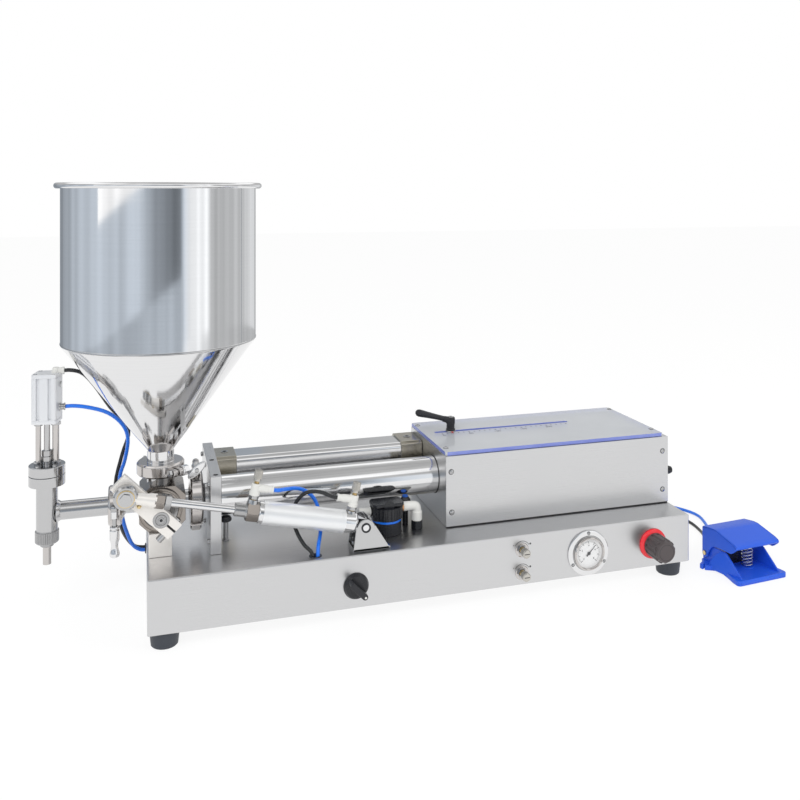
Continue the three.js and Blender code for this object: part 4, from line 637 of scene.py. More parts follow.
# Finishes
class PASTE_OT_finishes(bpy.types.Operator):
    """Makes the finishes: steels, anodised and painted metal, plastics, rubber and dial"""
    bl_idname = "paste_filler.finishes"
    bl_label = "Finishes"

    def execute(self, context):
        chosen = context.scene.paste_finishes
        steel, depth = chosen.steel, chosen.brushing
        for name, slot, material in (
            ("brushed", "brushed_sheet", self.brushed(steel, depth, (1.2, 60, 420))),
            # The deck's left end is painted lighter: painted light
            ("deck", "brushed_sheet", self.brushed(steel, depth, (1.2, 420, 60), painted_light=1.0)),
            ("upright", "brushed_sheet", self.brushed(steel, depth, (60, 1.2, 420))),
            ("hopper", "polished_steel", self.hopper(steel)),
            ("polished", "polished_steel", self.polished("polished steel", steel, 0.09)),
            ("mirror", "polished_steel", self.polished("mirror tube", steel, 0.1)),
            ("satin", "satin_steel", self.satin("satin steel", tinted(steel, 0.7), 0.15, 0.03)),
            ("machined", "satin_steel", self.satin("machined steel", tinted(steel, 0.55), 0.24, 0.1)),
            ("nickel", "satin_steel", self.polished("nickel", tinted(steel, 0.62), 0.12)),
            ("clamp", "satin_steel", self.polished("clamp steel", (0.60, 0.575, 0.56), 0.12)),
            ("brass", "satin_steel", self.polished("brass", (0.72, 0.56, 0.30), 0.18)),
            ("copper", "satin_steel", self.polished("copper thread", (0.7, 0.36, 0.17), 0.3)),
            ("bronze", "satin_steel", self.satin("valve bronze", (0.33, 0.30, 0.275), 0.16, 0.03)),
            ("champagne", "champagne_cap", self.satin("champagne", chosen.champagne, 0.22, 0.05)),
            ("anodised", "anodised", self.anodised((0.82, 0.83, 0.85), 0.36, 0.4)),
            ("warm", "anodised", self.anodised((0.90, 0.87, 0.83), 0.34, 0.4)),
            ("silver", "anodised", self.anodised((0.56, 0.54, 0.50), 0.24, 0.95)),
            ("barrel", "anodised", self.anodised((0.90, 0.91, 0.92), 0.38, 0.6)),
            ("spring", "spring_steel", self.polished("spring steel", tinted(steel, 0.85), 0.22)),
            ("black", "black_plastic", self.moulded("black plastic", (0.013, 0.014, 0.018), 0.27)),
            # Dark gap: painted shade in gaps, slots and round screw heads; also the colour of dark seams and
            # some small dark parts
            ("dark", "black_plastic", self.moulded("dark gap", (0.02, 0.02, 0.022), 0.7)),
            ("knob", "black_plastic", self.moulded("knob plastic", (0.085, 0.07, 0.072), 0.34)),
            ("rubber", "foot_rubber", self.moulded("foot rubber", (0.045, 0.052, 0.066), 0.5, 0.3)),
            ("white", "anodised", self.moulded("white plastic", (0.80, 0.80, 0.77), 0.32)),
            ("pedal", "pedal_blue", self.moulded("pedal blue", chosen.pedal, 0.4, 0.3)),
            ("ring", "red_ring", self.moulded("red ring", chosen.ring, 0.1, 0.05)),
            ("red", "red_ring", self.moulded("pointer red", (0.6, 0.03, 0.02), 0.3)),
            ("collet", "tube_blue", self.moulded("blue collet", (0.02, 0.12, 0.55), 0.35)),
            ("dial", "gauge_dial", self.dial()),
            ("print", "gauge_dial", self.moulded("dial print", (0.02, 0.02, 0.022), 0.5)),
            ("lid", "clear_lid", self.lid()),
            ("lid_edge", "clear_lid", self.lid_edge()),
            ("window", "clear_lid", self.window()),
            ("hose_blue", "tube_blue", self.hose("blue hose", chosen.blue_hose)),
            ("hose_black", "tube_black", self.hose("black hose", (0.014, 0.015, 0.017))),
        ):
            FINISHES[name] = (material, slot)
        return {"FINISHED"}

    def smudged(self, finish, colour, share=0.06):
        """A colour with faint large-scale variation."""
        patches = finish.noise(14, detail=4)
        return finish.mixed(patches, tinted(colour, 1 - share), tinted(colour, 1 + share / 2))

    def brushed(self, colour, depth, stretch, painted_light=0.0):
        """Brushed sheet whose left end may carry painted light, lighter by a share."""
        finish = Finish("brushed sheet")
        lines = finish.noise(1, [s * 8 for s in stretch], 4, 0.7)
        clouds = finish.noise(9, detail=3)
        rough = finish.ranged(lines, 0.2, 0.38) + finish.ranged(clouds, -0.03, 0.05)
        base = finish.mixed(lines, tinted(colour, 0.76), tinted(colour, 0.86))
        if painted_light:
            spot = finish.node("ShaderNodeTexCoord", output="Object")
            along = finish.node("ShaderNodeSeparateXYZ", {}, {0: spot})
            # Painted light, from the left end to a third of the deck's length, in metres
            share = finish.ranged(along, painted_light, 0.0, -0.43, -0.12)
            base = finish.mixed(share, base, (0.97, 0.955, 0.95, 1))
        return finish.surface(Base_Color=base, Metallic=1.0, Roughness=rough,
                              Normal=finish.bump(lines, depth, 0.5))

    def hopper(self, colour):
        finish = Finish("hopper steel")
        lines = finish.noise(1, (9, 9, 900), 5, 0.7)
        streaks = finish.noise(1, (3, 3, 160), 3, 0.6)
        clouds = finish.noise(5, detail=2)
        rough = finish.ranged(streaks, 0.03, 0.10) + finish.ranged(clouds, -0.01, 0.02)
        base = finish.mixed(lines, tinted(colour, 0.92), tinted(colour, 1.02))
        return finish.surface(Base_Color=base, Metallic=1.0, Roughness=rough,
                              Normal=finish.bump(lines, 0.000004, 0.4))

    def polished(self, name, colour, rough):
        finish = Finish(name)
        wear = finish.noise(60, detail=4)
        return finish.surface(Base_Color=self.smudged(finish, colour), Metallic=1.0,
                              Roughness=finish.ranged(wear, rough * 0.6, rough * 1.5),
                              Normal=finish.bump(finish.noise(35, detail=2), 0.00002, 0.3))

    def satin(self, name, colour, rough, grain):
        finish = Finish(name)
        marks = finish.noise(1, (1600, 420, 1600), 3, 0.6)
        return finish.surface(Base_Color=self.smudged(finish, colour, 0.08), Metallic=1.0,
                              Roughness=finish.ranged(marks, rough * 0.88, rough * 1.15),
                              Normal=finish.bump(marks, 0.000004, grain))

    def anodised(self, colour, rough, metal):
        finish = Finish("anodised aluminium")
        grain = finish.noise(900, detail=2)
        return finish.surface(Base_Color=self.smudged(finish, colour, 0.03), Metallic=metal,
                              Roughness=finish.ranged(grain, rough * 0.85, rough * 1.15),
                              Normal=finish.bump(grain, 0.00001, 0.25))

    def moulded(self, name, colour, rough, grain=0.2):
        finish = Finish(name)
        texture = finish.noise(700, detail=2)
        return finish.surface(Base_Color=self.smudged(finish, colour, 0.1),
                              Roughness=finish.ranged(texture, rough * 0.88, rough * 1.15),
                              Normal=finish.bump(texture, 0.00004, grain))

    def hose(self, name, colour):
        finish = Finish(name)
        scuffs = finish.noise(120, detail=3)
        return finish.surface(Base_Color=self.smudged(finish, colour, 0.12), Coat_Weight=0.3,
                              Roughness=finish.ranged(scuffs, 0.2, 0.36),
                              Normal=finish.bump(scuffs, 0.00002, 0.2))

    def dial(self):
        finish = Finish("dial white")
        return finish.surface(Base_Color=self.smudged(finish, (0.93, 0.93, 0.93), 0.02),
                              Roughness=finish.ranged(finish.noise(200), 0.4, 0.55))

    def lid(self):
        finish = Finish("clear lid")
        haze = finish.noise(6, detail=4)
        return finish.surface(Base_Color=finish.mixed(haze, (0.76, 0.79, 0.83, 1), (0.86, 0.88, 0.91, 1)),
                              Roughness=finish.ranged(finish.noise(40), 0.03, 0.09),
                              Alpha=finish.ranged(haze, 0.60, 0.70))

    def lid_edge(self):
        finish = Finish("clear lid edge")
        haze = finish.noise(20, detail=3)
        return finish.surface(Base_Color=finish.mixed(haze, (0.10, 0.14, 0.62, 1), (0.34, 0.42, 0.86, 1)),
                              Roughness=0.12, Alpha=0.86)

    def window(self):
        finish = Finish("gauge window")
        return finish.surface(Base_Color=self.smudged(finish, (0.9, 0.92, 0.94), 0.02),
                              Roughness=finish.ranged(finish.noise(30), 0.02, 0.06), Alpha=0.05)


# Air hoses
def eased(points, steps=4):
    """A smooth route through points: centripetal Catmull-Rom."""
    points = [Vector(p) for p in points]
    ends = [2 * points[0] - points[1], *points, 2 * points[-1] - points[-2]]
    route = []
    for i in range(1, len(ends) - 2):
        a, b, c, d = ends[i - 1:i + 3]
        t1 = math.sqrt((b - a).length)
        t2 = t1 + math.sqrt((c - b).length)
        t3 = t2 + math.sqrt((d - c).length)
        for k in range(steps):
            t = t1 + (t2 - t1) * k / steps
            ab = a * ((t1 - t) / t1) + b * (t / t1)
            bc = b * ((t2 - t) / (t2 - t1)) + c * ((t - t1) / (t2 - t1))
            cd = c * ((t3 - t) / (t3 - t2)) + d * ((t - t2) / (t3 - t2))
            abc = ab * ((t2 - t) / t2) + bc * (t / t2)
            bcd = bc * ((t3 - t) / (t3 - t1)) + cd * ((t - t1) / (t3 - t1))
            route.append(abc * ((t2 - t) / (t2 - t1)) + bcd * ((t - t1) / (t2 - t1)))
    return route + [points[-1]]


def length_of(route):
    """Length in metres of a route in millimetres."""
    return sum((b - a).length for a, b in zip(route, route[1:])) * MM


def on_actuator(along, across):
    """A place along the actuator's axis and above it."""
    return ACTUATOR @ Vector((along, 0, across))


def port(x, y):
    """A place on the pedal, at the height of its hose fittings."""
    return PEDAL @ Vector((x, y, 25))


class PASTE_OT_hoses(bpy.types.Operator):
    """Lays the six air hoses: two to the dosing head, two to the actuator, two to the pedal"""
    bl_idname = "paste_filler.hoses"
    bl_label = "Air hoses"

    def execute(self, context):
        self.hose("dosing_hose_blue", "hose_blue", ["dosing_tube_blue"], [
            (-117.2, 128, 306), (-108, 128, 306), (-88.4, 130, 302.4), (-57, 139, 289), (-35.6, 151, 266),
            (-28.2, 163, 241.6), (-32.8, 178, 203), (-40.8, 188, 172.8), (-37.5, 194, 110.5), (-30, 205, 76),
            (-20, 216, 50), (-9, 222, 40), (-3, 222, 39), (5, 222, 39)])
        self.hose("dosing_hose_black", "hose_black", ["dosing_tube_black"], [
            (-118.7, 128, 360.5), (-112, 128, 360.5), (-97, 140, 354), (-80, 166, 330), (-55, 190, 285),
            (-27.5, 205, 244.4), (-37.7, 205, 203.9), (-47.9, 203, 157.2), (-41, 208, 92.9), (-31, 222, 62),
            (-18, 232, 43), (-8, 234, 39.3), (-3, 234, 39), (5, 234, 39)])
        self.hose("actuator_hose_blue", "hose_blue", ["actuator_tube_blue"], [
            on_actuator(-149.7, 35), on_actuator(-143.7, 35), (202, 38, 178), (224, 57, 171), (241, 64, 161),
            (253.3, 64, 145.9), (260, 58, 119.2), (257, 44, 103), (250, 24, 91), (247.8, 16, 80),
            (247.8, 16, 67.5)], follows="actuator")
        self.hose("actuator_hose_black", "hose_black", ["actuator_tube_black"], [
            on_actuator(-50.3, 35), on_actuator(-56.3, 35), (256, 39, 168), (236, 51, 165), (222, 56, 151),
            (216, 57, 130), (220, 46, 110), (229, 28, 94), (238, 18, 86), (240.2, 16, 78),
            (240.2, 16, 67.5)], follows="actuator")
        low, top = -21.7, -15.0
        blue_start = [(846, 338.3, 45), (846, 344, 45), (846, 357, 38), (846, 367, 10), (846, 380, -16),
                      (846, 390, low), (846, 395.7, low)]
        black_start = [(796, 338.3, 45), (796, 344, 45), (779, 354, 40), (740, 360, 16), (706, 368, -8),
                       (689, 380, -20), (686, 392, low), (686, 395.7, low)]
        blue_end = [(806.3, 356, top), (812, 356, top), (835, 355, -18.5), (862, 353, low), (920, 352, low),
                    (985, 336, low), (1038, 292, low), (1063, 238, low), (1052, 190, low), (1028, 140, low),
                    (1009, 104, -17), (1000, 80, -5), port(18, 60), port(18, 54.3)]
        black_end = [(646.3, 356, top), (652, 356, top), (672, 351, -18.5), (700, 342, low), (740, 337, low),
                     (820, 336, low), (900, 333, low), (960, 315, low), (1005, 270, low), (1026, 210, low),
                     (1017, 150, low), (995, 108, -17), (979, 80, -5), port(-6, 60), port(-6, 54.3)]
        for name, start, middle, end in (("blue", blue_start, 800, blue_end),
                                         ("black", black_start, 640, black_end)):
            route = eased(start) + self.coil(middle, low, top - low) + eased(end)
            parts = [f"pedal_hose_{name}_{part}" for part in ("start", "coil", "end")]
            self.hose(f"pedal_hose_{name}", f"hose_{name}", parts, route, lay="coiled", smooth=False)
        return {"FINISHED"}

    def coil(self, middle, low, rise):
        """A flat coil of two layers: inwards on the floor, then outwards on top of that."""
        half_turns, steps, inner, pitch, depth = 2.375, 24, 46, 7, 402
        points = []
        for i in range(115):
            turns = i / steps
            radius = inner + pitch * (abs(turns - half_turns) - half_turns)
            climb = max(0, min(1, 2 * (turns - half_turns) + 0.5))
            turn = math.tau * turns
            points.append(Vector((middle + radius * math.cos(turn), depth + radius * math.sin(turn),
                                  low + rise * climb)))
        return points

    def hose(self, name, finish, nodes, points, follows=None, lay="loose", smooth=True):
        """An air hose along a route in millimetres, from its exit to where it goes back in."""
        route = eased(points) if smooth else points
        path = [ZERO + p * MM for p in route]
        diameter = sizes().hose_diameter
        piece = painted(swept(name, path, diameter / 2, 4, "POLY"), finish)
        bpy.ops.object.shade_smooth()
        if follows:
            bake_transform(piece)
        else:
            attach(piece, "machine")
        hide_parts(*nodes)
        length_of(route)


# Hopper
class PASTE_OT_hopper(bpy.types.Operator):
    """Spins the hopper with its rolled rim, cone and neck, and lays its weld seams"""
    bl_idname = "paste_filler.hopper"
    bl_label = "Hopper"

    def execute(self, context):
        bead = arc((150.9, 640.1), 4.4, -150, 90, 14)
        cone = [(20.5, 229.5), (21.4, 231.2), (144.9, 399.4), (146, 402.6), (146, 404)]
        inside = [(149, 644.2), (146, 642.8), (144.4, 640), (144, 636), (144, 403), (143, 400.4),
                  (19.6, 232.4), (18.5, 229.6), (18.5, 203)]
        foot = [(18.5, 203), (31.6, 203), (32, 203.5), (32, 206.8), (31.2, 208.4), (22.4, 211), (20.5, 212.8)]
        shell = turned([*foot, *cone, (146, 636.6), *bead, *inside], (*HOPPER, 0), steps=144)
        assembled("hopper_shell", "machine", "hopper", ("hopper", shell), angle=24)
        ring = turned([(145.6, 400.6), (146.5, 401.4), (146.7, 402.3), (146.4, 403.3), (145.6, 404),
                       (145.6, 400.6)], (*HOPPER, 0), steps=144)
        seam = block((-0.6, 0.6), (-146.35, -145.5), (404, 636), 0.3)
        settle(seam, shift(*HOPPER, 0) @ swing(52, "Z"))
        assembled("hopper_welds", "machine", None, ("satin", seam, ring))
        return {"FINISHED"}


# Sanitary clamps
def clamp_ring(half, outer, groove, bore):
    """Ring of a sanitary clamp about +Z: sloping inside faces and a rounded outer band."""
    lip = outer - 2.2
    return turned([(bore, -half), (lip, -half), (outer, 2.6 - half), (outer, half - 2.6), (lip, half),
                   (bore, half), (bore, half - 1.5), (groove, half - 3.4), (groove, 3.4 - half),
                   (bore, 1.5 - half), (bore, -half)], steps=96, edge=0.5)


def ears(reach, half):
    """Two rounded ears of a clamp with the gap between them, outwards along +X."""
    made = []
    for side in (-1, 1):
        outline = [(reach - 4, -half), (reach + 11, -half), *arc((reach + 11, 0), half, -90, 90, 8)[1:-1],
                   (reach + 11, half), (reach - 4, half)]
        low, high = sorted((side * 1.5, side * 8.5))
        made.append(slab(outline, "xz", low, high, 0.8))
    return made


class PASTE_OT_clamps(bpy.types.Operator):
    """Makes the three sanitary clamps with their bolts, nuts and hinges"""
    bl_idname = "paste_filler.clamps"
    bl_label = "Clamps"

    def execute(self, context):
        self.hopper_clamp()
        self.cylinder_clamp()
        self.outlet_clamp()
        return {"FINISHED"}

    def ring(self, name, node, place, half, outer, groove, bore, bolt, head):
        """A clamp's ring with its ears, the bolt across them and the hinge on the far side."""
        x, pin_x = outer + 8, -outer - 3.5
        shaft = rod((x, bolt[0], 0), (x, bolt[1], 0), 3.3)
        hinge = block((-outer - 7, -outer + 3), (-8, 8), (-half + 3, half - 3), 1.2)
        pins = [rod((pin_x, y, -half + 1), (pin_x, y, half - 1), 2.2, edge=0.5) for y in (-4.6, 4.6)]
        assembled(name, "machine", node, ("clamp", clamp_ring(half, outer, groove, bore), *ears(outer, 5.5)),
                  ("nickel", shaft, nut((x, head[0], 0), FAR, 6, head[1])), ("clamp", hinge),
                  ("nickel", *pins), at=place)

    def hopper_clamp(self):
        place = shift(*HOPPER, 202.85) @ swing(-60, "Z")
        self.ring("hopper_clamp_ring", "hopper_clamp", place, 9.85, 36, 32.4, 21, bolt=(-12.4, 21.4),
                  head=(-13.5, 4.5))
        collar = turned([(3.9, 0), (7.6, 0), (7.9, 1.4), (7.9, 3), (3.9, 3), (3.9, 0)], (44, 8.8, 0), FAR,
                        edge=0.3)
        grip = nut((44, 11.8, 0), FAR, 8, 8, bore=3.9)
        assembled("hopper_clamp_grip", "hopper_nut", "hopper_clamp_nut", ("polished", grip, collar), at=place)

    def cylinder_clamp(self):
        place = shift(74.4, PRODUCT_Y, PRODUCT_Z) @ swing(-90, "Y")
        self.ring("cylinder_clamp_ring", "cylinder_clamp", place, 9.5, 42.5, 33.4, 20.5, bolt=(-31.5, 12.4),
                  head=(8.5, 4.2))
        hub = turned([(3.9, 0), (8, 0), (7.8, 4), (6.4, 12), (6, 20), (3.9, 20), (3.9, 0)],
                     (50.5, -8.8, 0), (0, -1, 0), edge=0.4)
        oval = [(17.2 * u, 6.6 * v) for u, v in arc((0, 0), 1, 0, 360, 32)[:-1]]
        bar = settle(slab(oval, "xz", -29, -22.6, 1.8, 3), swing(48, "Y"))
        settle(bar, shift(50.5, 0, 0))
        assembled("cylinder_clamp_wing", "cylinder_nut", "cylinder_clamp_nut", ("polished", hub, bar),
                  at=place)

    def outlet_clamp(self):
        x, y = -46, 86
        ring = clamp_ring(10, 30, 25.6, 14.2)
        settle(ring, shift(x, PRODUCT_Y, PRODUCT_Z) @ swing(-90, "Y"))
        lug = slab([(-51.5, 101), (-51.5, y), *arc((x, y), 5.5, 180, 360, 8)[1:-1], (-40.5, y), (-40.5, 101)],
                   "xy", 143.5, 154.5, 0.9)
        bolt = rod((x, y, 90), (x, y, 156), 3.3)
        eye = turned([(3, -4), (5.4, -4), (6.2, -1.5), (6.2, 1.5), (5.4, 4), (3, 4)], (x, y, 158), edge=0.4)
        assembled("outlet_clamp_ring", "machine", "outlet_clamp", ("clamp", ring), ("polished", lug),
                  ("nickel", bolt, eye))
        profile = [(3.8, 86), (5.6, 86), (6.9, 87.2), (7.5, 89.6), (7.2, 92.6), (6, 96.4), (5.2, 100.6),
                   (5.2, 104), (5.8, 108), (7, 111.4), (7.3, 113), (7.3, 125.4), (6.8, 126.6),
                   (5.4, 126.8), (5.4, 128.4), (6.8, 128.8), (7.1, 130), (6.8, 131.6), (3.8, 132),
                   (3.8, 86)]
        assembled("outlet_clamp_grip", "outlet_nut", "outlet_clamp_nut",
                  ("polished", turned(profile, (x, y, 0), edge=0.3)))


# Dosing head
class PASTE_OT_dosing_head(bpy.types.Operator):
    """Makes the dosing head: T body, split flange, posts, shut-off stem, air cylinder and nozzle"""
    bl_idname = "paste_filler.dosing_head"
    bl_label = "Dosing head"

    def execute(self, context):
        self.body()
        self.flange()
        self.stem()
        self.cylinder()
        return {"FINISHED"}

    def body(self):
        x, y = DOSE
        tube = turned([(13, 121), (15.5, 121), (15.5, 191), (26, 191), (26, 206), (13, 206), (13, 121)],
                      (x, y, 0), steps=72, edge=0.6)
        pipe = turned([(11, 13), (13.7, 13), (13.7, 88.6), (25, 92.2), (25.2, 93), (25.2, 97.35), (11, 97.35),
                       (11, 13)], (x, y, PRODUCT_Z), RIGHT, steps=64, edge=0.4)
        weld = turned([(13.2, 15.2), (16.6, 14.2), (15.2, 17.2), (13.9, 19.4), (13.2, 20)],
                      (x, y, PRODUCT_Z), RIGHT, steps=64)
        knurl = slab(fluted(17, 0.8, 40), "xy", 105.2, 121.6, 0.25, 1)
        settle(knurl, shift(x, y, 0))
        collar = turned([(6.2, 103.6), (15.2, 103.6), (15.8, 104.4), (15.8, 105.4), (6.2, 105.4)],
                        (x, y, 0), edge=0.3)
        top = hoop(13, 15.9, 121.4, 123.2, (x, y, 0), edge=0.3)
        tip = hoop(4.9, 6, 71, 104, (x, y, 0), edge=0.2)
        step = turned([(5, 98), (8.6, 98), (9.6, 99), (9.6, 104), (5, 104), (5, 98)], (x, y, 0), edge=0.3)
        assembled("dosing_tee", "machine", "dosing_body", ("satin", tube, pipe, weld),
                  ("machined", knurl, collar, top, step), ("clamp", tip))

    def flange(self):
        x, y = DOSE
        disc = turned([(5, 206.4), (25.4, 206.4), (26, 207), (26, 220.4), (25.4, 221), (5, 221), (5, 206.4)],
                      (x, y, 0), steps=72, edge=0.4)
        left = rod((x - 12.1, y, 219), (x - 12.1, y, 284.2), 4)
        right = rod((x + 12.3, y, 219), (x + 12.3, y, 284.2), 5)
        nuts = [nut((x - 12.1, y, 221), UP, 6.6, 5), nut((x + 12.3, y, 221), UP, 7.6, 5),
                nut((x - 12.1, y, 279.6), UP, 6.4, 4.6), nut((x + 12.3, y, 279.6), UP, 7.4, 4.6)]
        head = [(0, 0), (3, 0), (3, 2.2), (2.6, 2.6), (1.5, 2.6), (1.5, 1.2), (0, 1.2)]
        screws = [turned(head, (*around(DOSE, 20.5, angle), 221), steps=24, edge=0.15)
                  for angle in (-125, -55, 55, 125)]
        assembled("dosing_flange_top", "machine", "dosing_flange", ("satin", disc), ("clamp", left, right),
                  ("nickel", *nuts, *screws))

    def stem(self):
        x, y = DOSE
        shaft = turned([(0, 92), (3, 92.4), (4.3, 94.6), (4.5, 96), (4.5, 309.6), (0, 309.6)], (x, y, 0),
                       steps=32)
        lock = nut((x, y, 226), UP, 8, 7.2)
        long_nut = nut((x, y, 233.8), UP, 7.6, 8.2)
        piston = puck(12.6, 300, 310, (x, y, 0), edge=0.4)
        assembled("shut_off_stem", "dosing_shutoff", "dosing_stem", ("satin", shaft),
                  ("nickel", lock, long_nut), ("machined", piston))

    def cylinder(self):
        x, y = DOSE
        half, groove = 18, 4
        grooved = [(-half + 2, -half), (-11, -half), (-11, -half + groove), (-6, -half + groove), (-6, -half),
                   (6, -half), (6, -half + groove), (11, -half + groove), (11, -half), (half - 2, -half)]
        plain = [(-half + 2, -half), (half - 2, -half)]
        outline = []
        for quarter, side in enumerate((grooved, plain, grooved, plain)):
            turn = Matrix.Rotation(math.radians(90 * quarter), 2)
            outline += [tuple(turn @ Vector(p)) for p in side]
        body = slab(outline, "xy", 290.6, 352.6, 0.5)
        caps = [slab(chamfered(-half, half, -half, half, 2), "xy", low, high, 0.7)
                for low, high in ((284.5, 290.1), (353.1, 358.5))]
        seams = [slab(chamfered(-17.4, 17.4, -17.4, 17.4, 2), "xy", low, high)
                 for low, high in ((290, 290.7), (352.5, 353.2))]
        socket = [(0, 357.4), (1.5, 357.4), (1.5, 358.7), (2.9, 358.7), (2.9, 357.2)]
        bolts = [turned(socket, (u, v, 0), steps=20) for u in (-13.2, 13.2) for v in (-13.2, 13.2)]
        housing = grouped(("anodised", body, *caps, *seams), ("nickel", *bolts))
        settle(housing, shift(x, y, 0) @ swing(-10.7, "Z"))
        elbow = bent([(x + 12.5, y, 356.6), (x + 12.5, y, 359), (x + 12.9, y, 360.4), (x + 15, y, 360.5),
                      (x + 23.2, y, 360.5)], 5.2, 6)
        base = turned([(0, 358.4), (6.2, 358.4), (6.2, 361.4), (5.2, 364), (4, 366), (0, 366.4)],
                      (x + 12.5, y, 0), edge=0.3)
        mouth = hoop(3.1, 5.8, 0, 3, (x + 21.4, y, 360.5), RIGHT, edge=0.4)
        side_fitting = turned([(0, 0), (6, 0), (6, 3), (4.6, 3.4), (4.6, 7), (5.6, 7.4), (5.6, 9.6),
                               (3.1, 9.8)], (x + 16.3, y, 306), RIGHT, edge=0.2)
        exhaust = turned([(0, 0), (4.2, 0), (4.2, 3), (0, 3.4)], (x + 17.2, y + 2, 340), RIGHT, edge=0.3)
        assembled("dosing_air_cylinder", "machine", "dosing_cylinder", (None, housing),
                  ("white", elbow, base, mouth), ("nickel", side_fitting, exhaust))


# Valve
class PASTE_OT_valve(bpy.types.Operator):
    """Makes the rotary valve body with its ports, the rotor and the split lever"""
    bl_idname = "paste_filler.valve"
    bl_label = "Valve"

    def execute(self, context):
        self.body()
        self.rotor()
        self.lever()
        return {"FINISHED"}

    def body(self):
        outline = chamfered(-11, 57, 115, 184, 15)
        core = slab(outline, "xz", 86, 170, 1.0)
        boss = turned([(26.4, -1), (26.4, -5), (29, -5), (29.4, -4.2), (30.6, -4.2), (31, -5), (31.6, -5),
                       (32, -4.6), (32, 1), (26.4, 1), (26.4, -1)], (VALVE_X, 86, VALVE_Z), FAR, steps=72)
        back = turned([(0, 0), (26, 0), (26, 3), (24, 4), (0, 4)], (VALVE_X, 170, VALVE_Z), FAR, steps=64,
                      edge=0.5)
        hole = puck(26.3, -8, 62.3, (VALVE_X, 86, VALVE_Z), FAR, steps=64)
        solid(core, hole)
        right = turned([(11, 56), (13.7, 56), (13.7, 62.6), (32.6, 66.4), (33, 67), (33, 74.25), (11, 74.25),
                        (11, 56)], (0, PRODUCT_Y, PRODUCT_Z), RIGHT, steps=64, edge=0.3)
        left = turned([(11, 10), (13.7, 10), (13.7, 31), (25, 37.4), (25.2, 38), (25.2, 45.85), (11, 45.85),
                       (11, 10)], (0, PRODUCT_Y, PRODUCT_Z), LEFT, steps=64, edge=0.3)
        neck = turned([(18.5, 180), (20.5, 180), (20.5, 190.6), (31.6, 194.3), (32, 195), (32, 202.7),
                       (18.5, 202.7), (18.5, 180)], (*HOPPER, 0), steps=64, edge=0.3)
        support = block((3, 36.6), (79, 177), (DECK, 116), 0.8)
        assembled("valve_housing", "machine", "valve_body", ("bronze", core, boss), ("machined", back),
                  ("satin", right, left, neck), ("warm", support))

    def rotor(self):
        disc = turned([(0, 62), (26, 62), (26, -4.4), (25.4, -5), (20.4, -5), (20, -4.2), (18.6, -4.2),
                       (18.2, -5), (8, -5), (8, -46), (7.4, -46.6), (6.2, -46.6), (5.8, -46.1),
                       (4.2, -46.1), (3.8, -46.8), (2.2, -46.8), (2.2, -38), (0, -38)],
                      (VALVE_X, 86, VALVE_Z), FAR, steps=64)
        bolts = []
        for angle in range(15, 375, 60):
            u, v = around((VALVE_X, VALVE_Z), 14, angle)
            bolts.append(turned([(0, 0), (2.7, 0), (2.7, 2), (1.3, 2), (1.3, 0.8), (0, 0.8)], (u, 81, v),
                                NEAR, steps=20, edge=0.12))
        assembled("valve_spindle", "valve_drive", "valve_rotor", ("machined", disc), ("nickel", *bolts))

    def lever(self):
        half = 14.3
        outline = [(0, -1.5), (-28.3, -1.5), (-28.3, -half), (86.3, -half), (86.3, half), (-28.3, half),
                   (-28.3, 1.5), (0, 1.5)]
        bar = slab(outline, "xz", 40, 50, 0.9)
        solid(bar, puck(8.3, 38, 52, along=FAR))
        # A dark slab inside the split: painted shade of the slot
        split = block((-27.9, -7.6), (40.8, 49.2), (-1.6, 1.6), 0)
        hub = turned([(8.1, 0.6), (8.1, -0.3), (8.5, -0.6), (11.6, -0.6), (12, -0.2), (12, 0.6), (8.1, 0.6)],
                     (0, 40, 0), FAR)
        screw = turned([(2.4, 12), (5, 12), (5, 24.4), (4.5, 25), (2.4, 25), (2.4, 20), (0, 20)],
                       (-19, 45, 0), UP, steps=32)
        tail = nut((-19, 45, -half + 0.6), DOWN, 4.6, 3)
        nipple = turned([(0, -0.5), (3.6, -0.5), (3.6, 1.6), (2.3, 2.2), (2.3, 3.6), (3, 4.6), (2, 6.6),
                         (0, 6.6)], (39.1, 40, 4.7), NEAR, steps=24, edge=0.2)
        assembled("valve_lever_bar", "valve_drive", "valve_lever", ("warm", bar), ("dark", split),
                  ("machined", hub), ("nickel", screw, tail), ("brass", nipple), at=LEVER)


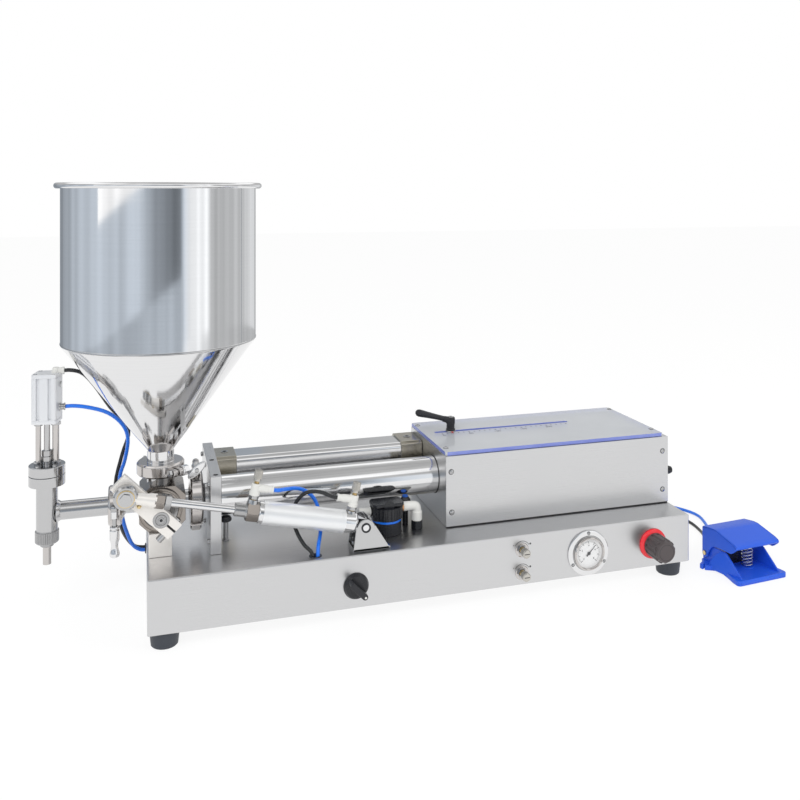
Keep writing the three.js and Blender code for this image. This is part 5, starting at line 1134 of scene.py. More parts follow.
# Actuator
class PASTE_OT_actuator(bpy.types.Operator):
    """Makes the valve's air actuator with its rod, rod eye, fittings, flow screws and bracket"""
    bl_idname = "paste_filler.actuator"
    bl_label = "Actuator"

    def execute(self, context):
        self.barrel()
        self.rod_end()
        self.flow_screws()
        self.bracket()
        return {"FINISHED"}

    def barrel(self):
        tube = turned([(15, 31.8), (17.3, 31.8), (17.3, 35), (17, 35.3), (17.3, 35.6), (17.3, 38.6),
                       (17, 38.9), (17.3, 39.2), (17.3, 152), (17, 152.3), (17.3, 152.6), (17.3, 155.6),
                       (17, 155.9), (17.3, 156.2), (17.3, 159.3), (15, 159.3), (15, 31.8)], along=LEFT,
                      steps=64)
        rear = turned([(0, 12), (13, 12), (15.4, 14.4), (16, 17), (16, 33.8), (0, 33.8)], along=LEFT,
                      steps=64, edge=0.4)
        front = turned([(6.3, 157.3), (16, 157.3), (16, 164.6), (14.8, 166.1), (6.3, 166.1), (6.3, 157.3)],
                       along=LEFT, steps=64, edge=0.4)
        hexagon_nut = nut((-166.1, 0, 0), LEFT, 15, 17.7, bore=6.3)
        boss = turned([(6.3, 166.1), (12.6, 166.1), (12.6, 172), (10.6, 185), (9.5, 186), (9.5, 200.8),
                       (8.6, 201.9), (6.3, 201.9), (6.3, 166.1)], along=LEFT, steps=48, edge=0.3)
        lug = slab([(-14, -10), (0, -10), *arc((0, 0), 9, -75, 75, 14), (0, 10), (-14, 10)], "xz", -8, 8, 0.9)
        groups = [("barrel", tube), ("polished", rear, front), ("bronze", hexagon_nut), ("machined", boss),
                  ("polished", lug)]
        for place, inward in ((-177, 1), (-23, -1)):
            foot = puck(5, 14, 25, (place, 0, 0), edge=0.3)
            pad = turned([(0, 12), (8.6, 12), (7.4, 18.4), (0, 18.4)], (place, 0, 0), edge=0.4)
            ring = nut((place, 0, 19.4), UP, 7.6, 4.6)
            body = turned([(0, 24), (7.2, 24), (8, 25), (8, 29), (7.1, 29.8), (7.1, 40.6), (6, 42), (3.9, 42),
                           (3.9, 38), (0, 38)], (place, 0, 0), edge=0.3)
            arm = turned([(0, 0), (6, 0), (6, 18), (5.2, 19), (5.2, 24), (5.8, 24.4), (5.8, 27), (3.1, 27),
                          (3.1, 24)], (place, 0, 35), (inward, 0, 0), edge=0.3)
            groups += [("brass", foot), ("nickel", pad, ring), ("white", body, arm)]
        assembled("actuator_cylinder", "actuator", "actuator_barrel", *groups, at=ACTUATOR)

    def rod_end(self):
        x = -358.915
        chrome = rod((-140, 0, 0), (-296, 0, 0), 6, edge=0.4)
        piston = puck(14.6, 140, 152, along=LEFT, edge=0.4)
        lock = nut((-294.8, 0, 0), LEFT, 11.5, 8.4)
        second = nut((-304.4, 0, 0), LEFT, 11, 13.3)
        shank = turned([(0, 315.7), (10, 315.7), (10, 324), (8.6, 329), (8.2, 348), (0, 348)], along=LEFT,
                       edge=0.3)
        eye = turned([(11, -7), (12.4, -8), (15.4, -8), (17.5, -5), (17.5, 5), (15.4, 8), (12.4, 8),
                      (11, 7), (11, -7)], (x, 0, 0), FAR, steps=56)
        race = turned([(6.1, -8), (9.4, -8), (10.4, -6), (11.1, 0), (10.4, 6), (9.4, 8), (6.1, 8), (6.1, -8)],
                      (x, 0, 0), FAR, steps=48)
        bolt = rod((x, -9.9, 0), (x, 9.6, 0), 6)
        washer = puck(12.6, 0, 1.2, (x, -7.9, 0), NEAR, edge=0.2)
        second_washer = puck(11.4, 0, 1, (x, -9.2, 0), NEAR, edge=0.2)
        head = nut((x, -10.2, 0), NEAR, 8.5, 2.6)
        assembled("actuator_rod_end", "actuator_piston", "actuator_rod", ("mirror", chrome),
                  ("machined", piston), ("nickel", lock), ("bronze", second), ("warm", shank),
                  ("nickel", eye), ("brass", race), ("nickel", bolt), ("brass", washer),
                  ("satin", second_washer, head), at=ACTUATOR)

    def flow_screws(self):
        ribs = sizes().knurl_ribs
        for place, name, body, node in ((-177, "flow_knob_front", "front_flow_screw", "flow_screw_front"),
                                        (-23, "flow_knob_rear", "rear_flow_screw", "flow_screw_rear")):
            neck = puck(3.5, 40.4, 47, edge=0.2)
            thread = [turned([(3.4, z), (3.9, z + 0.4), (3.4, z + 0.8)], steps=24)
                      for z in (42.6, 43.7, 44.8)]
            grip = slab(fluted(6.5, 0.4, ribs), "xy", 49.6, 61, 0.15, 1)
            under = puck(5.9, 46, 50, edge=0.4)
            cap = turned([(0, 60.6), (6, 60.6), (6, 61.4), (5.2, 62), (0, 62)], edge=0.1)
            # A thin dark strip on the cap for the screw slot: painted shade of the recess
            slot = block((-5.2, 5.2), (-0.6, 0.6), (61.9, 62.05), 0)
            assembled(name, body, node, ("brass", neck, *thread), ("silver", grip, under, cap),
                      ("dark", slot), at=ACTUATOR @ shift(place, 0, 0))

    def bracket(self):
        x, _, z = PIN
        outline = [(301.8, DECK), (360.2, DECK), (x + 15, z + 2), *arc((x, z - 1), 13.4, 12, 168, 16),
                   (x - 15, z + 2)]
        cheeks = [slab(outline, "xz", low, low + 3, 0.5) for low in (10.5, 46.5)]
        floor = block((301.8, 360.2), (10.5, 49.5), (DECK, 84.3), 0.6)
        pin = rod((x, 9.9, z), (x, 50.6, z), 5, edge=0.6)
        clip = hoop(5.1, 7.4, 0, 1.2, (x, 10.3, z), NEAR, edge=0.2)
        screws = [turned([(0, 0), (3.6, 0), (3.4, 2), (2.4, 3), (0, 3.2)], (*at, 84.2), steps=28)
                  for at in ((308.5, 22), (308.5, 38), (353, 22), (353, 38))]
        assembled("actuator_stand", "machine", "actuator_bracket", ("satin", *cheeks, floor),
                  ("polished", pin), ("black", clip), ("nickel", *screws))


# Quick exhaust unit and the knob behind the plate
class PASTE_OT_quick_exhaust(bpy.types.Operator):
    """Makes the black quick exhaust unit with its fittings, and the mushroom knob on the deck"""
    bl_idname = "paste_filler.quick_exhaust"
    bl_label = "Quick exhaust"

    def execute(self, context):
        x, y = 372, 77
        bend = x + 51.5
        top = slab(chamfered(346, 398, 60, 94, 5), "xy", 124, 130, 1.4, 3)
        middle = slab(chamfered(347, 397, 61, 93, 6), "xy", 103, 123.4, 1.2)
        drum = turned([(0, 103.4), (24, 103.4), (25, 104.4), (25, 123.4), (0, 123.4)], (x, y, 0),
                      steps=64, edge=0.4)
        band = puck(23.6, 99.6, 103.6, (x, y, 0), steps=64)
        ribs = [rod((u, v, 105), (u, v, 122.6), 1.4, steps=12)
                for u, v in (around((x, y), 24.6, angle) for angle in range(205, 345, 14))]
        bowl = settle(slab(fluted(24.6, 0.4, 60), "xy", DECK, 100, 0.3, 1), shift(x, y, 0))
        cap = turned([(0, 0), (8, 0), (8.6, 0.8), (8.6, 1.6), (0, 1.6)], (x, 60.9, 127), NEAR, edge=0.3)
        left = turned([(0, 20), (6.8, 20), (6.8, 28), (6, 29), (6, 40), (6.6, 41), (6.6, 46), (3.1, 47),
                       (3.1, 44)], (x, y, 116), LEFT, edge=0.3)
        sleeve = puck(7.6, 22, 27, (x, y, 116), LEFT, edge=0.3)
        right = bent([(x + 28, y, 118), (x + 36, y, 118), (x + 47, y, 118), (x + 51.4, y, 116),
                      (bend, y, 108), (bend, y, 100)], 7.4, 6)
        tail = turned([(0, 93), (7, 93), (8.6, 94.6), (8.6, 108), (7.4, 109.4), (0, 109.4)],
                      (bend, y, 0), edge=0.3)
        thread = puck(7, 22, 29.4, (x, y, 118), RIGHT, edge=0.3)
        hexagon_nut = nut((bend, y, DECK), UP, 9.6, 13)
        back = turned([(0, DECK), (5, DECK), (5, 108), (9, 112), (9, 121), (5.6, 126), (0, 126)],
                      (x + 38, y + 22, 0), edge=0.3)
        collet = turned([(0, 125.6), (4.6, 125.6), (4.6, 128.4), (0, 128.6)], (x + 38, y + 22, 0), edge=0.2)
        assembled("quick_exhaust_unit", "machine", "quick_exhaust",
                  ("black", top, middle, drum, bowl, cap, *ribs, sleeve, hexagon_nut, back),
                  ("hose_blue", band), ("white", left, right, tail), ("copper", thread), ("collet", collet))
        knob = turned([(0, 109), (5, 109), (8.4, 110.6), (9.4, 112.6), (9.2, 114.6), (7.6, 117.2),
                       (5, 118.6), (0, 119)], (120, 118, 0), steps=56, edge=0.2)
        stem = turned([(0, DECK), (5.6, DECK), (5.6, 82), (4, 82.6), (4, 109.4), (0, 109.4)],
                      (120, 118, 0), edge=0.2)
        assembled("deck_mushroom_knob", "deck_knob", "hand_knob", ("black", knob), ("machined", stem))
        return {"FINISHED"}


# Product and air cylinders between the front plate and the box
class PASTE_OT_cylinders(bpy.types.Operator):
    """Makes the front plate, the product tube and the air cylinder with its caps"""
    bl_idname = "paste_filler.cylinders"
    bl_label = "Cylinders"

    def execute(self, context):
        plate = block((92.4, 109), (64, 254), (DECK, 198.5), 1.0, 3)
        for y in (73.4, 151.5):
            solid(plate, puck(4, 190, 200, (100.7, y, 0), steps=32))
        pipe = turned([(11, 74.55), (33, 74.55), (33, 81.6), (31.6, 82.2), (21.6, 86), (20, 88), (20, 94.4),
                       (11, 94.4), (11, 74.55)], (0, PRODUCT_Y, PRODUCT_Z), RIGHT, steps=64, edge=0.3)
        head = [(0, 0), (4, 0), (4, 3), (3.4, 3.6), (2, 3.6), (2, 1.6), (0, 1.6)]
        screws = [turned(head, (92.4, y, z), LEFT, steps=28, edge=0.15)
                  for y, z in ((78, 96), (78, 184), (178, 184), (240, 96), (240, 184), (170, 96))]
        assembled("cylinder_plate", "machine", "front_plate", ("upright", plate), ("satin", pipe),
                  ("nickel", *screws))

        tube = hoop(27.5, 30.5, 109.4, 468.6, (0, PRODUCT_Y, PRODUCT_Z), RIGHT, steps=96, edge=0.3)
        assembled("product_cylinder", "machine", "product_tube", ("mirror", tube))

        for name, low, high in (("air_cap_left", 109.4, 144.6), ("air_cap_right", 430.4, 468.6)):
            cap = slab(chamfered(AIR_Y - 32, AIR_Y + 32, AIR_Z - 32, AIR_Z + 32, 4.5), "yz", low, high,
                       1.2, 3)
            corners = [(u, v) for u in (-24, 24) for v in (-24, 24)] if name == "air_cap_right" else []
            bolts = [turned([(0, 0), (4.6, 0), (4.6, 0.4), (2.2, 0.4), (2.2, -3), (0, -3)],
                            (low, AIR_Y + u, AIR_Z + v), LEFT, steps=24) for u, v in corners]
            boss = turned([(0, 0), (6.2, 0), (6.2, 1), (3.4, 1), (3.4, -2), (0, -2)],
                          ((low + high) / 2, AIR_Y, AIR_Z + 32), steps=32, edge=0.2)
            assembled(f"{name}_block", "machine", name, ("champagne", cap), ("nickel", *bolts, boss))
        outline = []
        for cu, cv, start in ((1, -1, -90), (1, 1, 0), (-1, 1, 90), (-1, -1, 180)):
            outline += arc((AIR_Y + cu * 20.5, AIR_Z + cv * 20.5), 9, start, start + 90, 8)
        barrel = slab(outline, "yz", 144.4, 430.6)
        assembled("air_cylinder_barrel", "machine", "air_barrel", ("mirror", barrel))
        recoloured("nickel", "twin_piston")
        return {"FINISHED"}


# Printed numbers and screws
def figure(text, size):
    """A plain printed number, centred on the origin and facing up."""
    bpy.ops.object.text_add(location=(0, 0, 0))
    piece = bpy.context.object
    piece.data.body = text
    piece.data.size = size * MM
    piece.data.align_x, piece.data.align_y = "CENTER", "CENTER"
    piece.data.extrude = 0.05 * MM
    take(piece)
    bpy.ops.object.convert(target="MESH")
    return bpy.context.object


def pan_head(at, along, radius=None):
    """A pan-head screw with a cross recess and a thin dark ring of painted shade round its head."""
    r = radius or sizes().screw_radius
    head = turned([(0, -0.2), (r, -0.2), (r, 0.5), (r * 0.86, 1.3), (r * 0.5, 1.75), (0, 1.85)], steps=28)
    for u, v in ((r * 0.62, r * 0.13), (r * 0.13, r * 0.62)):
        solid(head, block((-u, u), (-v, v), (1.0, 2.4), 0))
    # A thin dark ring round the head: painted shade where the head meets the surface
    rim = hoop(r, r + 0.7, -0.1, 0.06, steps=28)
    return grouped(("nickel", aimed(head, at, along)), ("dark", aimed(rim, at, along)))


# Control box
class PASTE_OT_control_box(bpy.types.Operator):
    """Makes the control box: end plates, side panels, clear slotted lid, screws and end plug"""
    bl_idname = "paste_filler.control_box"
    bl_label = "Control box"

    def execute(self, context):
        left = block((BOX_X[0], 487), (64.3, 255.7), (DECK, BOX_TOP), 0.8)
        right = block((867, BOX_X[1]), (64.3, 255.7), (DECK, BOX_TOP), 0.8)
        plug = turned([(0, 0), (9, 0), (9, 2.4), (7.6, 3.2), (7.2, 9), (5.6, 14), (3, 15), (0, 15)],
                      (BOX_X[1], 75, 133), RIGHT, steps=40, edge=0.4)
        # A thin dark ring round the product tube where it enters the plate: painted shadow of the gap
        collar = hoop(30.5, 31.3, 468.2, 469.1, (0, PRODUCT_Y, PRODUCT_Z), RIGHT, steps=64)
        assembled("box_plate_left", "machine", "box_left_plate", ("upright", left), ("dark", collar))
        assembled("box_plate_right", "machine", "box_right_plate", ("upright", right), ("black", plug))
        self.side("front", (62, 64), (62.6, 64), 62, NEAR,
                  ((478, 171.3), (479, 104.8), (873.8, 171.9), (873.8, 104.3)))
        self.side("back", (256, 258), (256, 257.4), 258, FAR,
                  ((478, 171.3), (478, 104.8), (875, 171.3), (875, 104.8)))
        self.lid()
        return {"FINISHED"}

    def side(self, name, sheet, gap, face, out, screws):
        """A long side panel, with a dark strip of painted shade in the gap under it, and its screws."""
        panel = block(BOX_X, sheet, (81.8, BOX_TOP), 0.6)
        # A dark block in the gap between deck and panel: painted shade
        under = block((470, 884), gap, (DECK, 82), 0)
        heads = [pan_head((x, face, z), out) for x, z in screws]
        assembled(f"box_side_{name}", "machine", f"box_{name}_panel", ("brushed", panel), ("dark", under),
                  (None, *heads))

    def lid(self):
        x0, x1, y0, y1, top = BOX_X[0], 876, 64, 258, 203.3
        sheet = slab(chamfered(x0, x1, y0, y1, 3), "xy", 197.3, top)
        slot = [*arc((494, 184), 4, 90, 270, 10), *arc((745, 184), 4, -90, 90, 10)]
        solid(sheet, slab(slot, "xy", 190, 210))
        rounded(sheet, 0.7, 2, 50)
        painted(sheet, "lid")
        sheet.data.materials.append(FINISHES["lid_edge"][0])
        for face in sheet.data.polygons:
            c = face.center / MM
            rim = min(c.x - x0, x1 - c.x, c.y - y0, y1 - c.y) < 1.2
            inside = 489 < c.x < 750 and 179 < c.y < 189
            face.material_index = 1 if (rim or inside) and abs(face.normal.z) < 0.95 else 0
        screws = [pan_head((x, y, top), UP)
                  for x, y in ((474.7, 237.1), (477.6, 88.4), (870, 242.8), (870, 92.3))]
        marks = []
        for i in range(25):
            x = 500 + i * 10
            long_ = i % 5 == 0
            marks.append(block((x - 0.6, x + 0.6), (166 if long_ else 169, 173), (203.25, 203.45), 0))
            if long_:
                marks.append(settle(figure(str(i * 10), 9), shift(x, 160, top)))
        housing = block((816, 842), (153.5, 166.5), (184.3, 197.2), 1.2)
        assembled("clear_cover", "machine", "lid", (None, sheet, *screws), ("print", *marks),
                  ("white", housing))


# Stroke stop
class PASTE_OT_stroke_stop(bpy.types.Operator):
    """Makes the sliding stroke stop with its pointer and ratchet handle"""
    bl_idname = "paste_filler.stroke_stop"
    bl_label = "Stroke stop"

    def execute(self, context):
        x, y = 519.7, 184
        slide = block((507.7, 531.7), (173, 195), (188, 196.6), 0.6)
        bar = block((500, 519), (180, 188), (188, 192), 0.3)
        stud = turned([(0, 189), (3.4, 189), (3.4, 225.4), (2.8, 226), (0, 226)], (x, y, 0), steps=28)
        ring = turned([(3.3, 203.6), (8.8, 203.6), (9, 204.4), (8.6, 205.2), (3.3, 205.2), (3.3, 203.6)],
                      (x, y, 0), edge=0.15)
        pointer = slab([(x - 2.5, y - 8), (x + 2.5, y - 8), (x, y - 15)], "xy", 203.6, 204.9, 0.2)
        assembled("stop_slide", "stop", "stop_carriage", ("satin", slide), ("dark", bar),
                  ("nickel", stud, ring), ("red", pointer))
        hub = turned([(3.7, 205.5), (8, 205.5), (8, 208), (7.2, 209), (7.2, 216), (7.9, 217.4), (8, 226.4),
                      (7.2, 228.4), (5, 229), (5, 228.2), (3.7, 228.2), (3.7, 205.5)], (x, y, 0), edge=0.2)
        cap = turned([(0, 226.6), (4.6, 226.6), (4.6, 229), (3.6, 229.9), (2, 229.9), (2, 228.6), (0, 228.6)],
                     (x, y, 0), steps=32, edge=0.15)
        lean = Vector((-59, 0, 17))
        arm = turned([(0, 0), (4.6, 0), (4.4, 10), (4.8, 30), (5.6, 46), (6.3, 56), (6.4, 61.4), (5.4, 65),
                      (3, 67.3), (0, 67.9)], (x, y, 223), lean, steps=40)
        web = turned([(0, 0), (6.6, 0), (5.2, 14), (0, 14)], (x, y, 222.4), lean, steps=32)
        assembled("stop_clamp_handle", "stop_lever", "stop_handle", ("black", hub), ("nickel", cap),
                  ("black", arm, web))
        return {"FINISHED"}


# Base housing
class PASTE_OT_base(bpy.types.Operator):
    """Makes the folded base housing with its grommets, the rubber feet and the hose union"""
    bl_idname = "paste_filler.base"
    bl_label = "Base"

    def execute(self, context):
        self.housing()
        self.feet()
        self.union()
        return {"FINISHED"}

    def housing(self):
        shell = block((0, 886), (0, 320), (0, 80), sizes().sheet_edge, 4)
        hole = puck(7.6, 66, 90, (244, 16, 0), steps=40)
        solid(shell, hole)
        painted(shell, "brushed")
        shell.data.materials.append(FINISHES["deck"][0])
        shell.data.materials.append(FINISHES["upright"][0])
        for face in shell.data.polygons:
            if abs(face.normal.z) > 0.9:
                face.material_index = 1
            elif abs(face.normal.x) > 0.9:
                face.material_index = 2
        grommet = turned([(6, 79.4), (6.6, 80.6), (8.6, 80.9), (9.8, 80.4), (9.8, 80), (6, 79.4)],
                         (244, 16, 0), steps=48)
        rings = [turned([(3.2, -0.2), (6.2, -0.2), (6.2, 1.2), (5, 2), (3.2, 2), (3.2, -0.2)], (0, y, 39),
                        LEFT, edge=0.3) for y in (222, 234)]
        seams = [block((x, x + 0.5), (319.9, 320.12), (3, 77), 0) for x in (20, 865)]
        cover = block((16, 870), (16, 304), (-1.4, 0.2), 0.4)
        bolts = [pan_head((x, y, -1.4), DOWN) for x in (60, 443, 826) for y in (22, 298)]
        assembled("base_cabinet", "machine", "base_housing", (None, shell), ("rubber", grommet, *rings),
                  ("dark", *seams), ("brushed", cover), (None, *bolts))

    def feet(self):
        foot = turned([(0, -24.2), (9.6, -24.2), (10, -25), (18, -25), (19.4, -23.6), (19.8, -20), (21.4, -5),
                       (21.8, -4.4), (22, -3.8), (22, -1), (21.4, -0.3), (0, -0.3)], (24.5, 27, 0), steps=56)
        others = copied(foot, (837, 0, 0), (0, 266, 0), (837, 266, 0))
        for number, piece in enumerate([foot, *others], 1):
            assembled(f"rubber_foot_{number}", "machine", f"foot_{number}", ("rubber", piece))

    def union(self):
        body = block((784, 862), (320.2, 332), (33, 57), 1.4, 3)
        groups = [("anodised", body)]
        for x, finish in ((846, "collet"), (796, "black")):
            nipple = turned([(0, 11), (7, 11), (7, 14), (6, 15), (6, 17), (0, 17)], (x, 320, 45), FAR,
                            edge=0.3)
            collet = turned([(0, 16.6), (5.4, 16.6), (5.4, 18), (3.1, 18)], (x, 320, 45), FAR, edge=0.2)
            groups += [("nickel", nipple), (finish, collet)]
        heads = [pan_head((x, 332, 45), FAR) for x in (812, 830)]
        assembled("hose_union_block", "machine", "hose_union", *groups, (None, *heads))


# Operating panel
class PASTE_OT_panel_fittings(bpy.types.Operator):
    """Makes the selector, needle valves, pressure gauge and regulator on the front panel"""
    bl_idname = "paste_filler.panel_fittings"
    bl_label = "Panel fittings"

    def execute(self, context):
        self.selector()
        self.needles()
        self.gauge()
        self.regulator()
        return {"FINISHED"}

    def selector(self):
        x, z = 303.2, 34
        skirt = turned([(0, 0.3), (19.5, 0.3), (19.5, 2), (18.6, 3), (17.4, 6.4), (16.4, 7.4), (0, 7.6)],
                       (x, 0, z), NEAR, steps=64, edge=0.2)
        stem = rod((x, -0.2, z), (x, 19, z), 5)
        outline = [*arc((-12.6, 0), 4.5, 90, 270, 10), *arc((12.6, 0), 4.5, -90, 90, 10)]
        grip = slab(outline, "xy", 6, 24, 1.0, 3)
        dot = puck(1.7, 0, 0.3, (13.4, 0, 23.95), steps=24)
        knob = grouped(("black", grip), ("white", dot))
        settle(knob, facing(x, z) @ swing(-45, "Z"))
        assembled("selector_switch", "selector", "selector_knob", (None, knob), ("black", skirt, stem))

    def needles(self):
        ribs = sizes().knurl_ribs
        x = 576.3
        for number, z in ((1, 56.3), (2, 19.5)):
            stem = turned([(0, -20), (4.9, -20), (4.9, 8), (3.4, 8), (3.4, 11), (0, 11)], (x, 0, z), NEAR,
                          edge=0.2)
            grip = slab(fluted(7, 0.4, ribs), "xy", 11.2, 19.2, 0.2, 1)
            cap = turned([(0, 19), (6.5, 19), (6, 20), (5.2, 20.4), (0, 20.4)], edge=0.1)
            under = turned([(0, 8.2), (5.8, 8.2), (6.5, 9.4), (6.5, 11.4), (0, 11.4)], edge=0.2)
            # A thin dark strip on the knob for the screw slot: painted shade of the recess
            slot = block((-4.6, 4.6), (-0.6, 0.6), (20.3, 20.5), 0)
            knob = settle(grouped(("silver", grip, cap, under), ("dark", slot)), facing(x, z))
            collar = nut((x, -0.3, z), NEAR, 8.4, 4)
            washer = turned([(5.4, 0.1), (11.6, 0.1), (11.6, 0.8), (10.4, 1.5), (5.4, 1.5), (5.4, 0.1)],
                            (x, 0, z), NEAR, edge=0.2)
            assembled(f"needle_valve_knob_{number}", f"needle_valve_{number}", f"needle_knob_{number}",
                      (None, knob), ("brass", stem), ("nickel", collar), ("clamp", washer))
            assembled(f"needle_valve_marks_{number}", "machine", None, ("print", *self.marks(x, z)))

    def marks(self, x, z):
        """A plain arc with a dot at each end, printed round a needle valve."""
        outer, inner = arc((x, z), 14.2, 30, 150, 20), arc((x, z), 13.4, 150, 30, 20)
        marks = [slab(outer + inner, "xz", -0.12, 0.02)]
        for angle, radius in ((30, 1.5), (150, 0.8)):
            u, v = around((x, z), 16.6, angle)
            marks.append(puck(radius, 0, 0.14, (u, 0.02, v), NEAR, steps=20))
        return marks

    def gauge(self):
        x, z = 693.7, 38
        flange = turned([(24, 0.3), (35.6, 0.3), (36.5, 1.2), (36.3, 2.2), (34.6, 3.1), (28, 3.3),
                         (24, 3.3), (24, 0.3)], (x, 0, z), NEAR, steps=96)
        bezel = turned([(24, 3), (27, 3), (27, 7.6), (26, 9), (24.6, 9), (24, 8.2), (24, 3)], (x, 0, z), NEAR,
                       steps=96)
        step = turned([(26.8, 3), (29, 3), (28.4, 4.4), (26.8, 4.6)], (x, 0, z), NEAR, steps=96)
        can = turned([(0, 30), (23, 30), (24.5, 28.4), (24.5, 1), (0, 1)], (x, 0, z), FAR, steps=64)
        dial = puck(24.1, 2.8, 3.4, (x, 0, z), NEAR, steps=64)
        window = puck(24.1, 7.4, 7.9, (x, 0, z), NEAR, steps=64)
        places = [around((x, z), 32.2, angle) for angle in (90, 210, 330)]
        heads = [pan_head((u, -3.1, v), NEAR, 2.6) for u, v in places]
        ticks = []
        for i in range(41):
            long_ = i % 5 == 0
            inner, half = (15.6, 0.42) if long_ else (17.8, 0.2)
            tick = block((inner, 20.2), (-half, half), (3.38, 3.5), 0)
            settle(tick, swing(DIAL_START - DIAL_SWEEP * i / 40, "Z"))
            ticks.append(settle(tick, facing(x, z)))
        assembled("pressure_gauge", "machine", "gauge_body", ("polished", flange), ("clamp", bezel),
                  ("machined", step), ("polished", can), ("dial", dial), ("window", window),
                  (None, *heads), ("print", *ticks, *self.figures(x, z)))
        needle = slab([(-6, -1.1), (-6, 1.1), (0, 0.8), (18, 0.15), (18, -0.15), (0, -0.8)], "xy", 4.3, 4.8)
        hub = turned([(0, 3.5), (2.6, 3.5), (2.6, 5.2), (1.8, 5.8), (0, 5.8)], edge=0.15)
        settle(needle, swing(45, "Z"))
        assembled("gauge_hand", "gauge_pointer", "gauge_needle", ("print", needle), ("black", hub),
                  at=facing(x, z))

    def figures(self, x, z):
        """Plain numbers round the dial."""
        made = []
        for i in range(0, 9, 2):
            angle = DIAL_START - DIAL_SWEEP * i / 8
            text = settle(figure(str(i), 4.4), shift(*around((0, 0), 12.6, angle), 3.45))
            made.append(settle(text, facing(x, z)))
        return made

    def regulator(self):
        x, z = 815.2, 38.7
        ring = turned([(14, 0.3), (24.6, 0.3), (25, 1), (24.6, 2.6), (22.6, 4.8), (20, 6), (14, 6),
                       (14, 0.3)], (x, 0, z), NEAR, steps=72)
        body = turned([(0, 55), (20, 55), (23, 52), (23, 2.3), (14, 2.3), (14, -5), (0, -5)], (x, 0, z), FAR,
                      steps=64, edge=0.4)
        assembled("regulator_mount", "machine", "regulator_body", ("ring", ring), ("black", body))
        ribbed = slab(fluted(20, 1.6, sizes().knob_ribs, 0.44), "xy", 8, 36.4, 0.7)
        skirt = turned([(0, 6.3), (19.4, 6.3), (20, 7), (20, 9.6), (0, 9.6)], edge=0.3)
        tip = turned([(0, 35.6), (18.2, 35.6), (17.4, 38), (16.8, 40.6), (15.6, 42), (0, 42)], edge=0.3)
        circle = turned([(12.4, 41.9), (12.9, 42.1), (13.4, 41.9)], steps=48)
        assembled("regulator_grip", "regulator", "regulator_knob", ("knob", ribbed, skirt, tip),
                  ("dark", circle), at=facing(x, z))


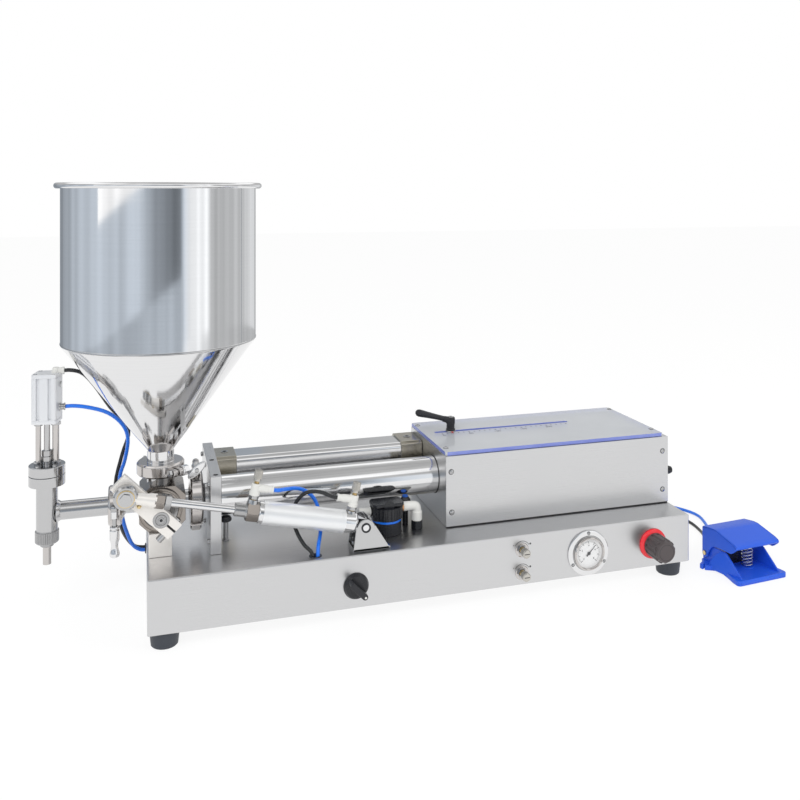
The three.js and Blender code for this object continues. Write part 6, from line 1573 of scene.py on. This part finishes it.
# Foot pedal
class PASTE_OT_pedal(bpy.types.Operator):
    """Makes the foot pedal: moulded base, hinged cover, return spring and valve"""
    bl_idname = "paste_filler.pedal"
    bl_label = "Foot pedal"

    def execute(self, context):
        self.base()
        self.cover()
        self.spring()
        return {"FINISHED"}

    def base(self):
        half = [*arc((46, -51), 6, -90, 0, 6), (50.6, -40), (46.4, -25), (40, 4), (49, 10.6), (59, 17),
                (59, 19.4), (52.4, 21.4), (54, 24), (59.4, 21), (61.8, 22.4), (61.8, 28), (50, 35), (44, 44)]
        plan = half + [(-x, y) for x, y in reversed(half)]
        floor = slab(plan, "xy", 0, 8.6, 1.2, 3)
        toe = slab([(-58, 3), (-58, 6.6), (-56.4, 8.8), (-53.6, 8.8), (-52, 6), (-51, 3)], "yz", -47, 47,
                   0.8, 2)
        cheek = [(-53, 3), (-53, 8), (-50, 10), (-16, 37), (-12, 38.6), (38, 38), (43.6, 31), (43.6, 3)]
        slope = [(-53, 3), (-53, 8), (-50, 10), (-16, 37), (-12, 38), (0, 36), (9, 27), (17, 13), (17, 3)]
        sides = []
        for side in (-1, 1):
            sides.append(slab(cheek, "yz", *sorted((side * 38.4, side * 41.6)), 1.1, 3))
            flare = slab(slope, "yz", *sorted((side * 39, side * 54)))
            solid(flare, aimed(block((-120, 120), (-120, 120), (0, 60), 0), (side * 41.6, -52, 5),
                               (side * 2124, -302, 395)))
            sides.append(rounded(flare, 0.7, 2, 50))
        tower = slab(chamfered(-26, 26, 6, 33, 3), "xy", 4, 30, 1.2, 3)
        plunger = turned([(0, 29), (5, 29), (5, 33), (4, 34.4), (0, 34.8)], (0, 19, 0), edge=0.3)
        pin = rod((-48.4, 33, 23), (48.4, 33, 23), 4, edge=0.8)
        groups = [("pedal", floor, toe, *sides), ("black", tower), ("nickel", plunger), ("brass", pin)]
        for x, finish in ((18, "collet"), (-6, "black")):
            nipple = turned([(0, 32), (6, 32), (6, 48), (5.4, 49), (5.4, 52.6), (3.1, 54), (3.1, 50)],
                            (x, 0, 25), FAR, edge=0.3)
            collet = turned([(3.1, 52), (5, 52), (5, 53.8), (3.1, 54)], (x, 0, 25), FAR)
            groups += [("nickel", nipple), (finish, collet)]
        assembled("pedal_tray", "machine", "pedal_base", *groups, at=PEDAL)

    def cover(self):
        above = [(-44.6, 55.6), (-44.5, 57.8), (-42.8, 60), (-36, 62.8), (1.5, 71), (5, 71.7), (14, 71.8),
                 (38, 68), (40, 66.4)]
        below = [(40, 62), (37.4, 64), (14, 68.4), (4, 68.3), (-34.6, 59.6), (-41, 56), (-42, 53)]
        parts = [slab(above + below, "yz", -46.5, 46.5, 1.2, 3)]
        outline = above + [(40, 23), *arc((33, 22), 7, 0, -180, 10), (25.6, 24), (23, 29), (18, 36),
                           (13, 40.4), (8, 42), (-9.5, 43.4), (-25.5, 44), (-31, 44.4), (-35.4, 47),
                           (-42.6, 53)]
        for side in (-1, 1):
            parts.append(slab(outline, "yz", *sorted((side * 46.5, side * 43.5)), 1.0, 3))
        parts.append(turned([(0, 56), (7, 56), (7.5, 56.6), (7.5, 66), (0, 66)], (*SPRING, 0), edge=0.2))
        assembled("pedal_plate", "pedal", "pedal_cover", ("pedal", *parts), at=PEDAL)

    def spring(self):
        """A coil of six curls between the floor and the cover, on a low seat."""
        low, high, radius, steps, count = 9.6, 44, 9, 16, 96
        points = []
        for i in range(count + 1):
            turn = math.tau * i / steps
            points.append((SPRING[0] + radius * math.cos(turn), SPRING[1] + radius * math.sin(turn),
                           low + (high - low) * i / count))
        wire = bent(points, 1.1, 4)
        seat = turned([(0, 7), (11, 7), (11, 8.8), (10.4, 9.2), (0, 9.2)], (*SPRING, 0), edge=0.2)
        assembled("pedal_return_spring", "machine", "pedal_spring", ("spring", wire), ("pedal", seat),
                  at=PEDAL)


OPERATORS = (
    PASTE_OT_stage, PASTE_OT_finishes, PASTE_OT_hoses, PASTE_OT_hopper, PASTE_OT_clamps, PASTE_OT_dosing_head,
    PASTE_OT_valve, PASTE_OT_actuator, PASTE_OT_quick_exhaust, PASTE_OT_cylinders, PASTE_OT_control_box,
    PASTE_OT_stroke_stop, PASTE_OT_base, PASTE_OT_panel_fittings, PASTE_OT_pedal,
)


class PASTE_PT_filler(bpy.types.Panel):
    """Lists the steps that build the paste filler, with the settings they read"""
    bl_idname = "PASTE_PT_filler"
    bl_label = "Paste Filler"
    bl_space_type = "VIEW_3D"
    bl_region_type = "UI"
    bl_category = "Paste Filler"

    def draw(self, context):
        scene = context.scene
        for settings in (scene.paste_stage, scene.paste_finishes, scene.paste_sizes):
            box = self.layout.box()
            for name in settings.__annotations__:
                box.prop(settings, name)
        for operator in OPERATORS:
            self.layout.operator(operator.bl_idname)


SETTINGS = (("paste_stage", StageSettings), ("paste_finishes", FinishSettings), ("paste_sizes", SizeSettings))


def register():
    for name, kind in SETTINGS:
        bpy.utils.register_class(kind)
        setattr(bpy.types.Scene, name, bpy.props.PointerProperty(type=kind))
    for kind in (*OPERATORS, PASTE_PT_filler):
        bpy.utils.register_class(kind)


def unregister():
    for kind in reversed((*OPERATORS, PASTE_PT_filler)):
        bpy.utils.unregister_class(kind)
    for name, kind in reversed(SETTINGS):
        delattr(bpy.types.Scene, name)
        bpy.utils.unregister_class(kind)


def main():
    register()
    for operator in OPERATORS:
        group, name = operator.bl_idname.split(".")
        getattr(getattr(bpy.ops, group), name)()
    unselect()


if __name__ == "__main__":
    main()
